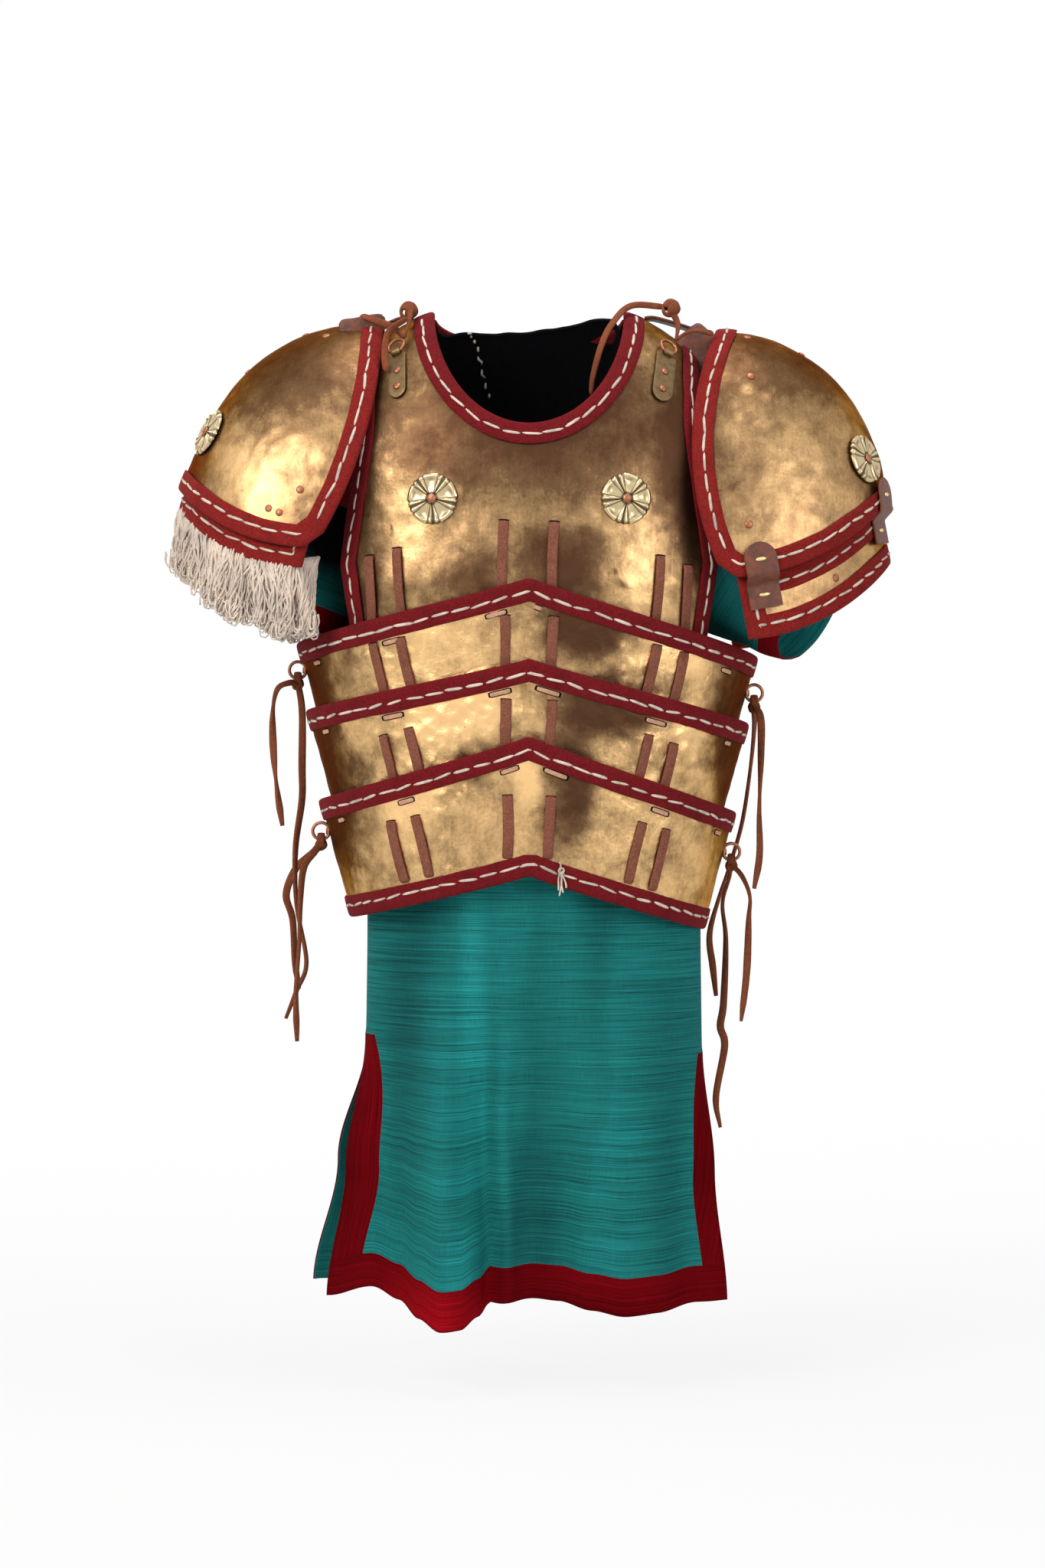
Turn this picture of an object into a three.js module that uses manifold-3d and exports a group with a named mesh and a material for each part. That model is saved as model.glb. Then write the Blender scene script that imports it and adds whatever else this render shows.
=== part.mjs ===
// Bronze banded cuirass with pauldrons, arm plates and an under tunic, in millimetres, +Z up.
// The front faces -Y. Right and left are the wearer's: right is -X and left is +X.
// The origin lies between the shoulders, where the armour hangs on its wearer.

import * as THREE from 'three';
import { mergeVertices } from 'three/addons/utils/BufferGeometryUtils.js';
import Module from 'manifold-3d';

const wasm = await Module();
wasm.setup();

// Stock thicknesses and clearances
const plateThickness = 1.2;
const bindingLeather = 1.7;
const bindingClearance = 0.6;
const curvedClearance = 1.1;
const bindingFace = 16;
const laceWidth = 9;
const laceThickness = 2.8;
const chestLaceLift = 0.6;
const layClearance = 0.5;
const slotClearance = 0.4;
const cutOverrun = 40;

// Torso shell of the breastplate and the back plate
const torsoHalfWidth = 198;
const frontDepth = 130;
const backDepth = 115;
const torsoPower = 2.6;
const shoulderStart = -150;
const shoulderRise = 175;
const waistStart = -238;
const sideTaper = 0.27;
const depthTaper = 0.11;
const plateBottom = -325;
const ridgeGap = 5;
const neckInset = 110;
const neckHalfWidth = torsoHalfWidth - neckInset;
const neckTop = 12;
const frontNeckDrop = 113;
const backNeckDrop = 20;
const armholeUpperInset = 48;
const armholeUpperHalf = torsoHalfWidth - armholeUpperInset;
const armholeUpperZ = -100;
const armholeWidestInset = 32;
const armholeWidestHalf = torsoHalfWidth - armholeWidestInset;
const armholeWidestZ = -220;
const armholeLowerInset = 48;
const armholeLowerHalf = torsoHalfWidth - armholeLowerInset;

// Lames, from the upper one down: middle of the top edge, fall of the edge, side place and half width
const lamePeaks = [-238, -309, -377];
const lameFalls = [58, 48, 61];
const lameSideZ = [-296, -356, -438];
const lameSideGaps = [25.66, 33.86, 44];
const lameSideHalf = lameSideZ.map((z, i) => torsoHalfWidth + sideTaper * Math.min(0, z - waistStart)
  + lameSideGaps[i]);
const lameHeight = 112;
const hemPeak = -494;
const hemFall = 46;
const fallPower = 0.9;
const hangTilt = 0.03;
const lameStep = { front: 8.4, back: 4.3 };
const lameSpanAngle = THREE.MathUtils.degToRad(86);

// Laces: places across the front as shares of the half width, at the slot and at the foot
const laceTopShares = [-0.66, -0.54, -0.1, 0.1, 0.54, 0.66];
const laceFootShares = [-0.64, -0.51, -0.11, 0.09, 0.51, 0.64];
const laceRises = [55, 43, 38, 73];
const laceFootTuck = 12;
const hemFootGap = 4;
const innerRunThickness = 1.8;
const innerRunWidth = 7;
const innerRunClearance = 1.2;

// Side rings, their lugs and their ties
const ringRadius = 8.5;
const ringWireRadius = 1.5;
const lugBore = 2.4;
const lugWall = 1;
const lugHeight = 6;
const lugStripLength = 8;
const lugStripSink = 0.6;
const lugStripThickness = 2.4;
const lugReach = 6.4;
const tieLoopRadius = 4.7;
const sideRingZ = { upper: { right: -312, left: -333 }, lower: { right: -459, left: -478 } };
const tieRadius = 2.5;

// Shoulder furniture
const shoulderTabWidth = { right: 17, left: 20 };
const shoulderTabThickness = 2;
const shoulderTabLength = { right: 40, left: 43 };
const shoulderTabTurn = 11.2;
const shoulderTabInset = { right: 33, left: 28 };
const shoulderTabTopZ = -34;
const shoulderTabLean = { right: 0.02, left: -0.14 };
const strapWidth = 26;
const strapThickness = 3;
const strapSink = { right: 4, left: 5 };

// Pauldrons: hub of the dome, cubic radii from the lower edge to the crown, edge angles in degrees
const hubInset = { right: 8, left: 25 };
const radiusLimitShares = [-0.4, 1.3];
const pauldrons = {
  right: {
    hub: [hubInset.right - torsoHalfWidth, 0, -205],
    radii: [140, 144, 202, 214],
    halfDepth: 124,
    crownAngle: -14.8, crownSpread: 17, lowerAngle: 65, lowerSpread: 26,
    plateTop: -40, plateBottom: 18, inset: 5, lean: 0.15, dropSlope: 0.25, armMargin: 13,
  },
  left: {
    hub: [torsoHalfWidth - hubInset.left, 0, -232],
    radii: [170, 195, 232, 228],
    halfDepth: 124,
    crownAngle: 0, crownSpread: 28, lowerAngle: 64, lowerSpread: 26,
    plateTop: 3.4, plateBottom: 55, inset: 8.8, lean: 0, dropSlope: 0.19, armMargin: 5,
  },
};
const poleMargin = THREE.MathUtils.degToRad(3.6);
const fringeLength = 58;
const fringeThickness = 11;
const armTabWidth = 30;
const armTabThickness = 2.5;
const armTabAbove = 26;
const armTabBelow = 32;
const armTabAngles = { front: -78, outer: -20 };

// Rosettes
const rosetteRadius = 22.5;
const rosetteHeight = 5;
const rosettePetals = 5;
const rosetteScallop = 0.92;
const rosetteProfileShares = [[0, 0], [1, 0], [1, 0.3], [0.62, 0.62], [0.24, 0.5], [0, 1]];
const breastRosette = [85, -165];
const domeSeatLift = { right: -0.5, left: 0.1 };

// Tunic, sleeves and lining
const clothThickness = 2.4;
const tunicTopZ = -110;
const tunicInset = { side: 52, front: 24, back: 21 };
const tunicHalfWidth = torsoHalfWidth - tunicInset.side;
const tunicFrontDepth = frontDepth - tunicInset.front;
const tunicBackDepth = backDepth - tunicInset.back;
const tunicWaistZ = -540;
const tunicHemZ = -872;
const hemHalfWidth = 175;
const hemFrontDepth = 104;
const hemBackDepth = 92;
const slitTopZ = -645;
const foldDepth = 9;
const foldCount = 7;
const hemWave = 14;
const liningThickness = 2.4;
const liningInset = 3.8;
const sleeveRootOut = { right: 13, left: 18 };
const sleeveEndOut = { right: 7, left: 66 };
const sleeves = {
  right: {
    start: [-armholeUpperHalf - sleeveRootOut.right, 0, -168],
    end: [-torsoHalfWidth - sleeveEndOut.right, 0, -272],
    across: 40,
    deep: 52,
  },
  left: {
    start: [armholeUpperHalf + sleeveRootOut.left, 0, -202],
    end: [torsoHalfWidth + sleeveEndOut.left, 0, -252],
    across: 50,
    deep: 54,
  },
};

// Step counts of the meshes
const lameSteps = 16;
const plateColumns = 16;
const straightRows = 4;
const shoulderRows = 10;
const neckSteps = 18;
const laceSteps = 3;
const innerRunSteps = 12;
const pauldronSteps = 12;
const pauldronRowShares = [0, 0.08, 0.22, 0.4, 0.6, 0.78, 0.92, 1];
const ringSteps = 12;
const ringSides = 5;
const loopSides = 6;
const tubeSides = 6;
const tieSteps = 8;
const tunicColumns = 36;
const sleeveColumns = 16;

// Materials
const finish = (color, roughness, metalness) => new THREE.MeshStandardMaterial({
  color, roughness, metalness,
});
const bronze = finish(0xa9803f, 0.38, 1);
const brass = finish(0xc9a047, 0.32, 1);
const copper = finish(0xb56a4a, 0.35, 1);
const redSuede = finish(0x7d1820, 0.95, 0);
const brownLeather = finish(0x7a3b20, 0.8, 0);
const tealSilk = finish(0x1c7f78, 0.7, 0);
const blackFelt = finish(0x101114, 1, 0);
const creamWool = finish(0xe6dcc6, 1, 0);

const armour = new THREE.Group();
armour.name = 'armour';

// A closed body from points and triangles, turned so that its faces point out
function closedGeometry(points, triangles) {
  let volume = 0;
  for (const [a, b, c] of triangles) {
    volume += points[a].dot(new THREE.Vector3().crossVectors(points[b], points[c]));
  }
  const faces = volume < 0 ? triangles.map(([a, b, c]) => [a, c, b]) : triangles;
  const geometry = new THREE.BufferGeometry();
  const places = points.flatMap((p) => [p.x, p.y, p.z]);
  geometry.setAttribute('position', new THREE.Float32BufferAttribute(places, 3));
  geometry.setIndex(faces.flat());
  return geometry;
}

// Solids for cuts and joins
function solidOf(geometry) {
  const bare = geometry.clone();
  bare.deleteAttribute('normal');
  bare.deleteAttribute('uv');
  const merged = mergeVertices(bare);
  const vertProperties = new Float32Array(merged.attributes.position.array);
  const triVerts = new Uint32Array(merged.index.array);
  return new wasm.Manifold(new wasm.Mesh({ numProp: 3, vertProperties, triVerts }));
}

function geometryOf(solid) {
  const mesh = solid.getMesh();
  const geometry = new THREE.BufferGeometry();
  geometry.setAttribute('position', new THREE.BufferAttribute(new Float32Array(mesh.vertProperties), 3));
  geometry.setIndex(new THREE.BufferAttribute(new Uint32Array(mesh.triVerts), 1));
  return geometry;
}

const joined = (geometries) => geometryOf(geometries.map(solidOf).reduce((whole, part) => whole.add(part)));
const cutBy = (geometry, cutters) => geometryOf(
  cutters.map(solidOf).reduce((whole, cutter) => whole.subtract(cutter), solidOf(geometry)));

function addPart(name, geometry, material) {
  const mesh = new THREE.Mesh(geometry, material);
  mesh.name = name;
  armour.add(mesh);
  return mesh;
}

// A shell between two grids of points, with walls wherever a cell has no neighbour
function gridShell(lowGrid, highGrid, wraps = false, isOpen = () => false) {
  const rows = lowGrid.length;
  const columns = lowGrid[0].length;
  const cellColumns = wraps ? columns : columns - 1;
  const points = [...lowGrid.flat(), ...highGrid.flat()];
  const high = rows * columns;
  const at = (i, j) => i * columns + (j % columns);
  const present = (i, j) => {
    const column = wraps ? (j + cellColumns) % cellColumns : j;
    return i >= 0 && i < rows - 1 && column >= 0 && column < cellColumns && !isOpen(i, column);
  };
  const triangles = [];
  const quad = (a, b, c, d) => triangles.push([a, b, c], [a, c, d]);
  for (let i = 0; i < rows - 1; i += 1) {
    for (let j = 0; j < cellColumns; j += 1) {
      if (!present(i, j)) continue;
      const [a, b, c, d] = [at(i, j), at(i, j + 1), at(i + 1, j + 1), at(i + 1, j)];
      quad(a, b, c, d);
      quad(d + high, c + high, b + high, a + high);
      if (!present(i - 1, j)) quad(b, a, a + high, b + high);
      if (!present(i, j + 1)) quad(c, b, b + high, c + high);
      if (!present(i + 1, j)) quad(d, c, c + high, d + high);
      if (!present(i, j - 1)) quad(a, d, d + high, a + high);
    }
  }
  return compact(points, triangles);
}

// Drops the points that no face uses
function compact(points, triangles) {
  const places = new Map();
  const kept = [];
  const faces = triangles.map((face) => face.map((index) => {
    if (!places.has(index)) {
      places.set(index, kept.length);
      kept.push(points[index]);
    }
    return places.get(index);
  }));
  return closedGeometry(kept, faces);
}

// A body through a row of like sections, closed on itself or with end caps
function loft(rings, capTriangles, closed = false) {
  const count = rings[0].length;
  const triangles = [];
  const steps = closed ? rings.length : rings.length - 1;
  for (let i = 0; i < steps; i += 1) {
    const here = i * count;
    const next = ((i + 1) % rings.length) * count;
    for (let k = 0; k < count; k += 1) {
      const l = (k + 1) % count;
      triangles.push([here + k, here + l, next + l], [here + k, next + l, next + k]);
    }
  }
  if (!closed) {
    const last = (rings.length - 1) * count;
    for (const [a, b, c] of capTriangles) {
      triangles.push([c, b, a], [last + a, last + b, last + c]);
    }
  }
  return closedGeometry(rings.flat(), triangles);
}

const quadCap = [[0, 1, 2], [0, 2, 3]];
const channelCap = [[0, 1, 6], [0, 6, 7], [1, 2, 5], [1, 5, 6], [2, 3, 4], [2, 4, 5]];

// Surfaces are level functions that are zero on the middle of a plate
const probe = 0.01;
function slopeOf(level, p) {
  const shifted = (dx, dy, dz) => level(new THREE.Vector3(p.x + dx, p.y + dy, p.z + dz));
  return new THREE.Vector3(
    shifted(probe, 0, 0) - shifted(-probe, 0, 0),
    shifted(0, probe, 0) - shifted(0, -probe, 0),
    shifted(0, 0, probe) - shifted(0, 0, -probe),
  ).divideScalar(2 * probe);
}

const normalOn = (level, p) => slopeOf(level, p).normalize();
const offsetFrom = (level, p, distance) => p.clone().addScaledVector(normalOn(level, p), distance);

function seatOn(level, point) {
  const p = point.clone();
  for (let i = 0; i < 6; i += 1) {
    const slope = slopeOf(level, p);
    p.addScaledVector(slope, -level(p) / slope.lengthSq());
  }
  return p;
}

const plateHalf = plateThickness / 2;
function plateShell(level, grid, low = -plateHalf, high = plateHalf) {
  const shifted = (distance) => grid.map((row) => row.map((p) => offsetFrom(level, p, distance)));
  return gridShell(shifted(low), shifted(high));
}

// A folded leather binding over the edge of a plate
const bindingInside = plateHalf + bindingClearance;
const bindingHalf = bindingInside + bindingLeather;
const curvedBindingHalf = plateHalf + curvedClearance + bindingLeather;
function bindingOver(level, edge, inside, clearance = bindingClearance, closed = false) {
  const count = edge.length;
  const within = plateHalf + clearance;
  const outside = within + bindingLeather;
  const span = (i) => {
    const from = edge[(i + count) % count];
    const to = edge[(i + 1 + count) % count];
    return to.clone().sub(from).normalize();
  };
  const inwardOf = (i, normal) => new THREE.Vector3().crossVectors(normal, span(i)).normalize();
  const middle = Math.floor(count / 2);
  const middleInward = inwardOf(middle - 1, normalOn(level, edge[middle]));
  const turn = Math.sign(middleInward.dot(inside.clone().sub(edge[middle])));
  const rings = edge.map((point, i) => {
    const normal = normalOn(level, point);
    const before = inwardOf(closed || i > 0 ? i - 1 : i, normal);
    const after = inwardOf(closed || i < count - 1 ? i : i - 1, normal);
    const inward = before.clone().add(after).multiplyScalar(turn / (1 + before.dot(after)));
    const inner = seatOn(level, point.clone().addScaledVector(inward, bindingFace));
    const innerNormal = normalOn(level, inner);
    const fold = point.clone().addScaledVector(inward, -clearance);
    const rim = point.clone().addScaledVector(inward, -clearance - bindingLeather);
    const from = (base, direction, distance) => base.clone().addScaledVector(direction, distance);
    return [
      from(inner, innerNormal, outside), from(rim, normal, outside),
      from(rim, normal, -outside), from(inner, innerNormal, -outside),
      from(inner, innerNormal, -within), from(fold, normal, -within),
      from(fold, normal, within), from(inner, innerNormal, within),
    ];
  });
  return loft(rings, channelCap, closed);
}

// A flat strip that lies on a surface along a path
function stripOn(level, path, width, low, high) {
  const rings = path.map((point, i) => {
    const ahead = path[Math.min(i + 1, path.length - 1)].clone().sub(path[Math.max(i - 1, 0)]);
    const normal = normalOn(level, point);
    const across = new THREE.Vector3().crossVectors(normal, ahead).normalize().multiplyScalar(width / 2);
    const corner = (side, distance) => point.clone().addScaledVector(across, side)
      .addScaledVector(normal, distance);
    return [corner(-1, low), corner(1, low), corner(1, high), corner(-1, high)];
  });
  return loft(rings, quadCap);
}

// A box from one point to another with a given width along one axis
function barBetween(from, to, across, width, height) {
  const along = to.clone().sub(from).normalize();
  const side = across.clone().addScaledVector(along, -across.dot(along)).normalize();
  const up = new THREE.Vector3().crossVectors(along, side);
  const ring = (base) => [[-1, -1], [1, -1], [1, 1], [-1, 1]].map(([s, u]) => base.clone()
    .addScaledVector(side, s * width / 2).addScaledVector(up, u * height / 2));
  return loft([ring(from), ring(to)], quadCap);
}

const evenly = (count, from, to) => Array.from(
  { length: count + 1 }, (_, i) => from + (to - from) * i / count);
const upright = new THREE.Vector3(0, 0, 1);
const sides = [['right', -1], ['left', 1]];

// Torso surface
const belowWaist = (z) => Math.min(0, z - waistStart);
const torsoHalfAt = (z) => torsoHalfWidth + sideTaper * belowWaist(z);
const depthOf = { front: frontDepth, back: backDepth };
const torsoDepthAt = (face, z) => depthOf[face] + depthTaper * belowWaist(z);
const facing = { front: -1, back: 1 };

function torsoLevel(p) {
  const face = p.y < 0 ? 'front' : 'back';
  const rise = Math.max(0, p.z - shoulderStart) / shoulderRise;
  const across = Math.abs(p.x / torsoHalfAt(p.z)) ** torsoPower;
  return across + (p.y / torsoDepthAt(face, p.z)) ** 2 + rise ** 2 - 1;
}

const roundness = (x) => Math.sqrt(Math.max(0, 1 - Math.abs(x / torsoHalfWidth) ** torsoPower));

function torsoPoint(face, x, z) {
  const rise = Math.max(0, z - shoulderStart) / shoulderRise;
  const left = 1 - Math.abs(x / torsoHalfAt(z)) ** torsoPower - rise ** 2;
  return new THREE.Vector3(x, facing[face] * torsoDepthAt(face, z) * Math.sqrt(Math.max(0, left)), z);
}

// Half width of the plate between its armholes, by height
function armholeHalf(z) {
  const corners = [
    [plateBottom, armholeLowerHalf], [armholeWidestZ, armholeWidestHalf], [armholeUpperZ, armholeUpperHalf],
  ];
  if (z >= armholeUpperZ) return armholeUpperHalf;
  const above = z > armholeWidestZ;
  const [low, high] = above ? [corners[1], corners[2]] : [corners[0], corners[1]];
  return THREE.MathUtils.mapLinear(z, low[0], high[0], low[1], high[1]);
}

// Grid of a torso plate, straight below the chest and rounded over the shoulders
function torsoGrid(face) {
  const shoulderAngle = Math.acos(ridgeGap / depthOf[face]);
  const straight = evenly(straightRows, plateBottom, shoulderStart).slice(0, -1).map((z) => {
    const half = armholeHalf(z);
    return evenly(plateColumns, -half, half).map((x) => torsoPoint(face, x, z));
  });
  const rounded = evenly(shoulderRows, 0, shoulderAngle).map((angle) => {
    const half = armholeHalf(shoulderStart + shoulderRise * roundness(armholeUpperHalf) * Math.sin(angle));
    return evenly(plateColumns, -half, half).map((x) => new THREE.Vector3(
      x,
      facing[face] * depthOf[face] * roundness(x) * Math.cos(angle),
      shoulderStart + shoulderRise * roundness(x) * Math.sin(angle),
    ));
  });
  return [...straight, ...rounded];
}

// Neck opening: half an ellipse below the top of the shoulders
const neckDrop = { front: frontNeckDrop, back: backNeckDrop };
function neckCutter(face) {
  const outline = new THREE.Shape();
  outline.moveTo(neckHalfWidth, neckTop + cutOverrun);
  outline.lineTo(neckHalfWidth, neckTop);
  for (const angle of evenly(neckSteps * 2, 0, Math.PI).slice(1)) {
    outline.lineTo(neckHalfWidth * Math.cos(angle), neckTop - neckDrop[face] * Math.sin(angle));
  }
  outline.lineTo(-neckHalfWidth, neckTop + cutOverrun);
  const cutter = new THREE.ExtrudeGeometry(outline, { depth: torsoHalfWidth, bevelEnabled: false });
  cutter.rotateX(Math.PI / 2);
  if (face === 'back') cutter.translate(0, torsoHalfWidth, 0);
  return cutter;
}

function neckEdge(face) {
  const trim = face === 'front' ? 0.03 : 0.12;
  const fine = evenly(neckSteps * 8, trim, Math.PI - trim).map((angle) => torsoPoint(
    face, neckHalfWidth * Math.cos(angle), neckTop - neckDrop[face] * Math.sin(angle)));
  return new THREE.CatmullRomCurve3(fine).getSpacedPoints(neckSteps);
}

// Lames: conical bands with a chevron edge
function lameOf(index, face) {
  const peak = lamePeaks[index];
  const fallAt = (share, fall) => fall * Math.abs(share) ** fallPower;
  let depth = depthOf[face] + lameStep[face];
  for (let i = 1; i <= index; i += 1) {
    depth += lameStep[face] - depthTaper * (lamePeaks[i - 1] - lamePeaks[i]);
  }
  const halfAt = (z) => lameSideHalf[index] + sideTaper * (z - lameSideZ[index]);
  const depthAt = (z) => depth + depthTaper * (z - peak);
  const level = (p) => Math.abs(p.x / halfAt(p.z)) ** torsoPower + (p.y / depthAt(p.z)) ** 2 - 1;
  const point = (share, z) => new THREE.Vector3(
    share * halfAt(z),
    facing[face] * depthAt(z) * Math.sqrt(Math.max(0, 1 - Math.abs(share) ** torsoPower)),
    z,
  );
  const topZ = (share) => peak - fallAt(share, lameFalls[index]) - hangTilt * share * lameSideHalf[index];
  const isLast = index === lamePeaks.length - 1;
  const bottomZ = (share) => (isLast
    ? hemPeak - fallAt(share, hemFall) - hangTilt * share * lameSideHalf[index]
    : topZ(share) - lameHeight);
  return { level, point, topZ, bottomZ, halfAt, depthAt };
}

const shareOfAngle = (angle) => Math.sign(angle) * Math.abs(Math.sin(angle)) ** (2 / torsoPower);
const lameShares = evenly(lameSteps, -lameSpanAngle, lameSpanAngle).map(shareOfAngle);

function lameGrid(lame) {
  return ['bottom', 'nearBottom', 'nearTop', 'top'].map((row) => lameShares.map((share) => {
    const z = {
      bottom: lame.bottomZ(share),
      nearBottom: lame.bottomZ(share) + bindingFace,
      nearTop: lame.topZ(share) - bindingFace,
      top: lame.topZ(share),
    }[row];
    return lame.point(share, z);
  }));
}

// Laces: each row is one thong that runs down outside, and across behind the plate between its slots
const laceLow = plateHalf + layClearance;
const laceHigh = laceLow + laceThickness;
const innerRunHigh = -plateHalf - innerRunClearance;
const innerRunLow = innerRunHigh - innerRunThickness;

function laceRow(level, pointAt, slotZ, footZ, lift = 0) {
  const pieces = [];
  const [low, high] = [laceLow + lift, laceHigh + lift];
  const slots = laceTopShares.map((share) => seatOn(level, pointAt(share, slotZ(share))));
  slots.forEach((slot, k) => {
    const top = laceTopShares[k];
    const foot = laceFootShares[k];
    const path = evenly(laceSteps, 0, 1).map((t) => {
      const share = top + (foot - top) * t;
      return seatOn(level, pointAt(share, THREE.MathUtils.lerp(slotZ(top) + laceThickness, footZ(foot), t)));
    });
    pieces.push(stripOn(level, path, laceWidth, low, high));
    const normal = normalOn(level, slot);
    const across = new THREE.Vector3().crossVectors(normal, upright);
    const inner = slot.clone().addScaledVector(normal, (innerRunLow + innerRunHigh) / 2);
    const outer = slot.clone().addScaledVector(normal, (low + high) / 2);
    pieces.push(barBetween(inner, outer, across, laceWidth, laceThickness));
  });
  const run = evenly(innerRunSteps, laceTopShares[0], laceTopShares.at(-1)).map((share) => seatOn(
    level, pointAt(share, slotZ(share))));
  pieces.push(stripOn(level, run, innerRunWidth, innerRunLow, innerRunHigh));
  return joined(pieces);
}

function slotCutters(level, pointAt, slotZ) {
  return laceTopShares.map((share) => {
    const slot = seatOn(level, pointAt(share, slotZ(share)));
    const normal = normalOn(level, slot);
    const across = new THREE.Vector3().crossVectors(normal, upright);
    const reach = laceWidth;
    return barBetween(
      slot.clone().addScaledVector(normal, -reach),
      slot.clone().addScaledVector(normal, reach),
      across,
      laceWidth + 2 * slotClearance,
      laceThickness + 2 * slotClearance,
    );
  });
}

// Lugs and rings at the side edges of the front lames
function lugPlace(lame, sign, z) {
  const edge = lame.point(sign * lameShares.at(-1), z);
  return new THREE.Vector3(sign * lame.halfAt(z), edge.y + lugReach, z);
}

function lugOn(lame, sign, z) {
  const centre = lugPlace(lame, sign, z);
  const bore = lugBore;
  const outer = lugBore + lugWall;
  const profile = [
    [bore, -lugHeight / 2], [outer, -lugHeight / 2], [outer, lugHeight / 2], [bore, lugHeight / 2],
    [bore, -lugHeight / 2],
  ].map(([radius, height]) => new THREE.Vector2(radius, height));
  const tube = new THREE.LatheGeometry(profile, ringSteps);
  tube.rotateX(Math.PI / 2);
  tube.translate(centre.x, centre.y, centre.z);
  const stripEnd = centre.y - (bore + outer) / 2;
  const stripMiddle = centre.x + sign * (lugStripThickness / 2 - lugStripSink);
  const strip = barBetween(
    new THREE.Vector3(stripMiddle, stripEnd - lugStripLength, z),
    new THREE.Vector3(stripMiddle, stripEnd, z),
    new THREE.Vector3(1, 0, 0), lugStripThickness, lugHeight,
  );
  return [tube, strip];
}

// A tube through a list of points
function tubeAlong(points, radius, steps) {
  const curve = new THREE.CatmullRomCurve3(points.map((p) => new THREE.Vector3(...p)), false, 'centripetal');
  const section = new THREE.Shape();
  section.absarc(0, 0, radius, 0, 2 * Math.PI);
  return new THREE.ExtrudeGeometry(section, {
    steps, extrudePath: curve, curveSegments: tubeSides / 2, bevelEnabled: false,
  });
}

// Pauldron domes: a direction from the hub, with a radius that follows the angle from upright
function domeOf(side, sign) {
  const spec = pauldrons[side];
  const hub = new THREE.Vector3(...spec.hub);
  const [r0, r1, r2, r3] = spec.radii;
  const span = spec.lowerAngle - spec.crownAngle;
  const radiusAt = (angle) => {
    const s = THREE.MathUtils.clamp((spec.lowerAngle - angle) / span, ...radiusLimitShares);
    const t = 1 - s;
    return r0 * t ** 3 + 3 * r1 * s * t ** 2 + 3 * r2 * t * s ** 2 + r3 * s ** 3;
  };
  const angleOf = (p) => THREE.MathUtils.radToDeg(Math.atan2(sign * (p.x - hub.x), p.z - hub.z));
  const level = (p) => {
    const radius = radiusAt(angleOf(p));
    return Math.hypot((p.x - hub.x) / radius, (p.z - hub.z) / radius, (p.y - hub.y) / spec.halfDepth) - 1;
  };
  const point = (angle, swing) => {
    const radius = radiusAt(angle) * Math.cos(swing);
    const turn = THREE.MathUtils.degToRad(angle);
    return new THREE.Vector3(
      hub.x + sign * radius * Math.sin(turn),
      hub.y + spec.halfDepth * Math.sin(swing),
      hub.z + radius * Math.cos(turn),
    );
  };
  const crownAngle = (swing) => spec.crownAngle - spec.crownSpread * (1 - Math.cos(swing));
  const lowerAngle = (swing) => spec.lowerAngle + spec.lowerSpread * (1 - Math.cos(swing));
  return { spec, sign, level, point, crownAngle, lowerAngle };
}

const swingsWithin = (margin) => evenly(pauldronSteps, margin - Math.PI / 2, Math.PI / 2 - margin);
const swings = swingsWithin(poleMargin);

function domeGrid(dome) {
  return pauldronRowShares.map((share) => swings.map((swing) => dome.point(
    THREE.MathUtils.lerp(dome.crownAngle(swing), dome.lowerAngle(swing), share), swing)));
}

function domeEdge(dome) {
  const crown = swings.map((swing) => dome.point(dome.crownAngle(swing), swing));
  const lower = swings.map((swing) => dome.point(dome.lowerAngle(swing), swing));
  return [...crown, ...lower.reverse()];
}

// Arm plates: a band that carries on from the lower edge of the dome along the arm
function armBand(dome) {
  const down = new THREE.Vector3(dome.sign * dome.spec.dropSlope, 0, -1).normalize();
  const margin = THREE.MathUtils.degToRad(dome.spec.armMargin);
  const edge = swingsWithin(margin).map((swing) => dome.point(dome.lowerAngle(swing), swing));
  const outwards = edge.map((p, i) => {
    const ahead = edge[Math.min(i + 1, edge.length - 1)].clone().sub(edge[Math.max(i - 1, 0)]);
    const out = new THREE.Vector3().crossVectors(down, ahead).normalize();
    return out.multiplyScalar(Math.sign(out.dot(new THREE.Vector3(dome.sign, 0, 0))) || 1);
  });
  const outAt = (place) => {
    const i = Math.min(Math.floor(place), edge.length - 2);
    return outwards[i].clone().lerp(outwards[i + 1], place - i).normalize();
  };
  const edgeAt = (place) => {
    const i = Math.min(Math.floor(place), edge.length - 2);
    return edge[i].clone().lerp(edge[i + 1], place - i);
  };
  const at = (place, drop, outward) => edgeAt(place).addScaledVector(down, drop).addScaledVector(
    outAt(place), outward - dome.spec.inset + dome.spec.lean * (drop - dome.spec.plateBottom));
  return { down, last: edge.length - 1, at };
}

const places = (band) => Array.from({ length: band.last + 1 }, (_, i) => i);

function armGrid(band, top, bottom, outward) {
  return [bottom, bottom - bindingFace, top + bindingFace, top].map((drop) => places(band).map(
    (place) => band.at(place, drop, outward)));
}

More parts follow.
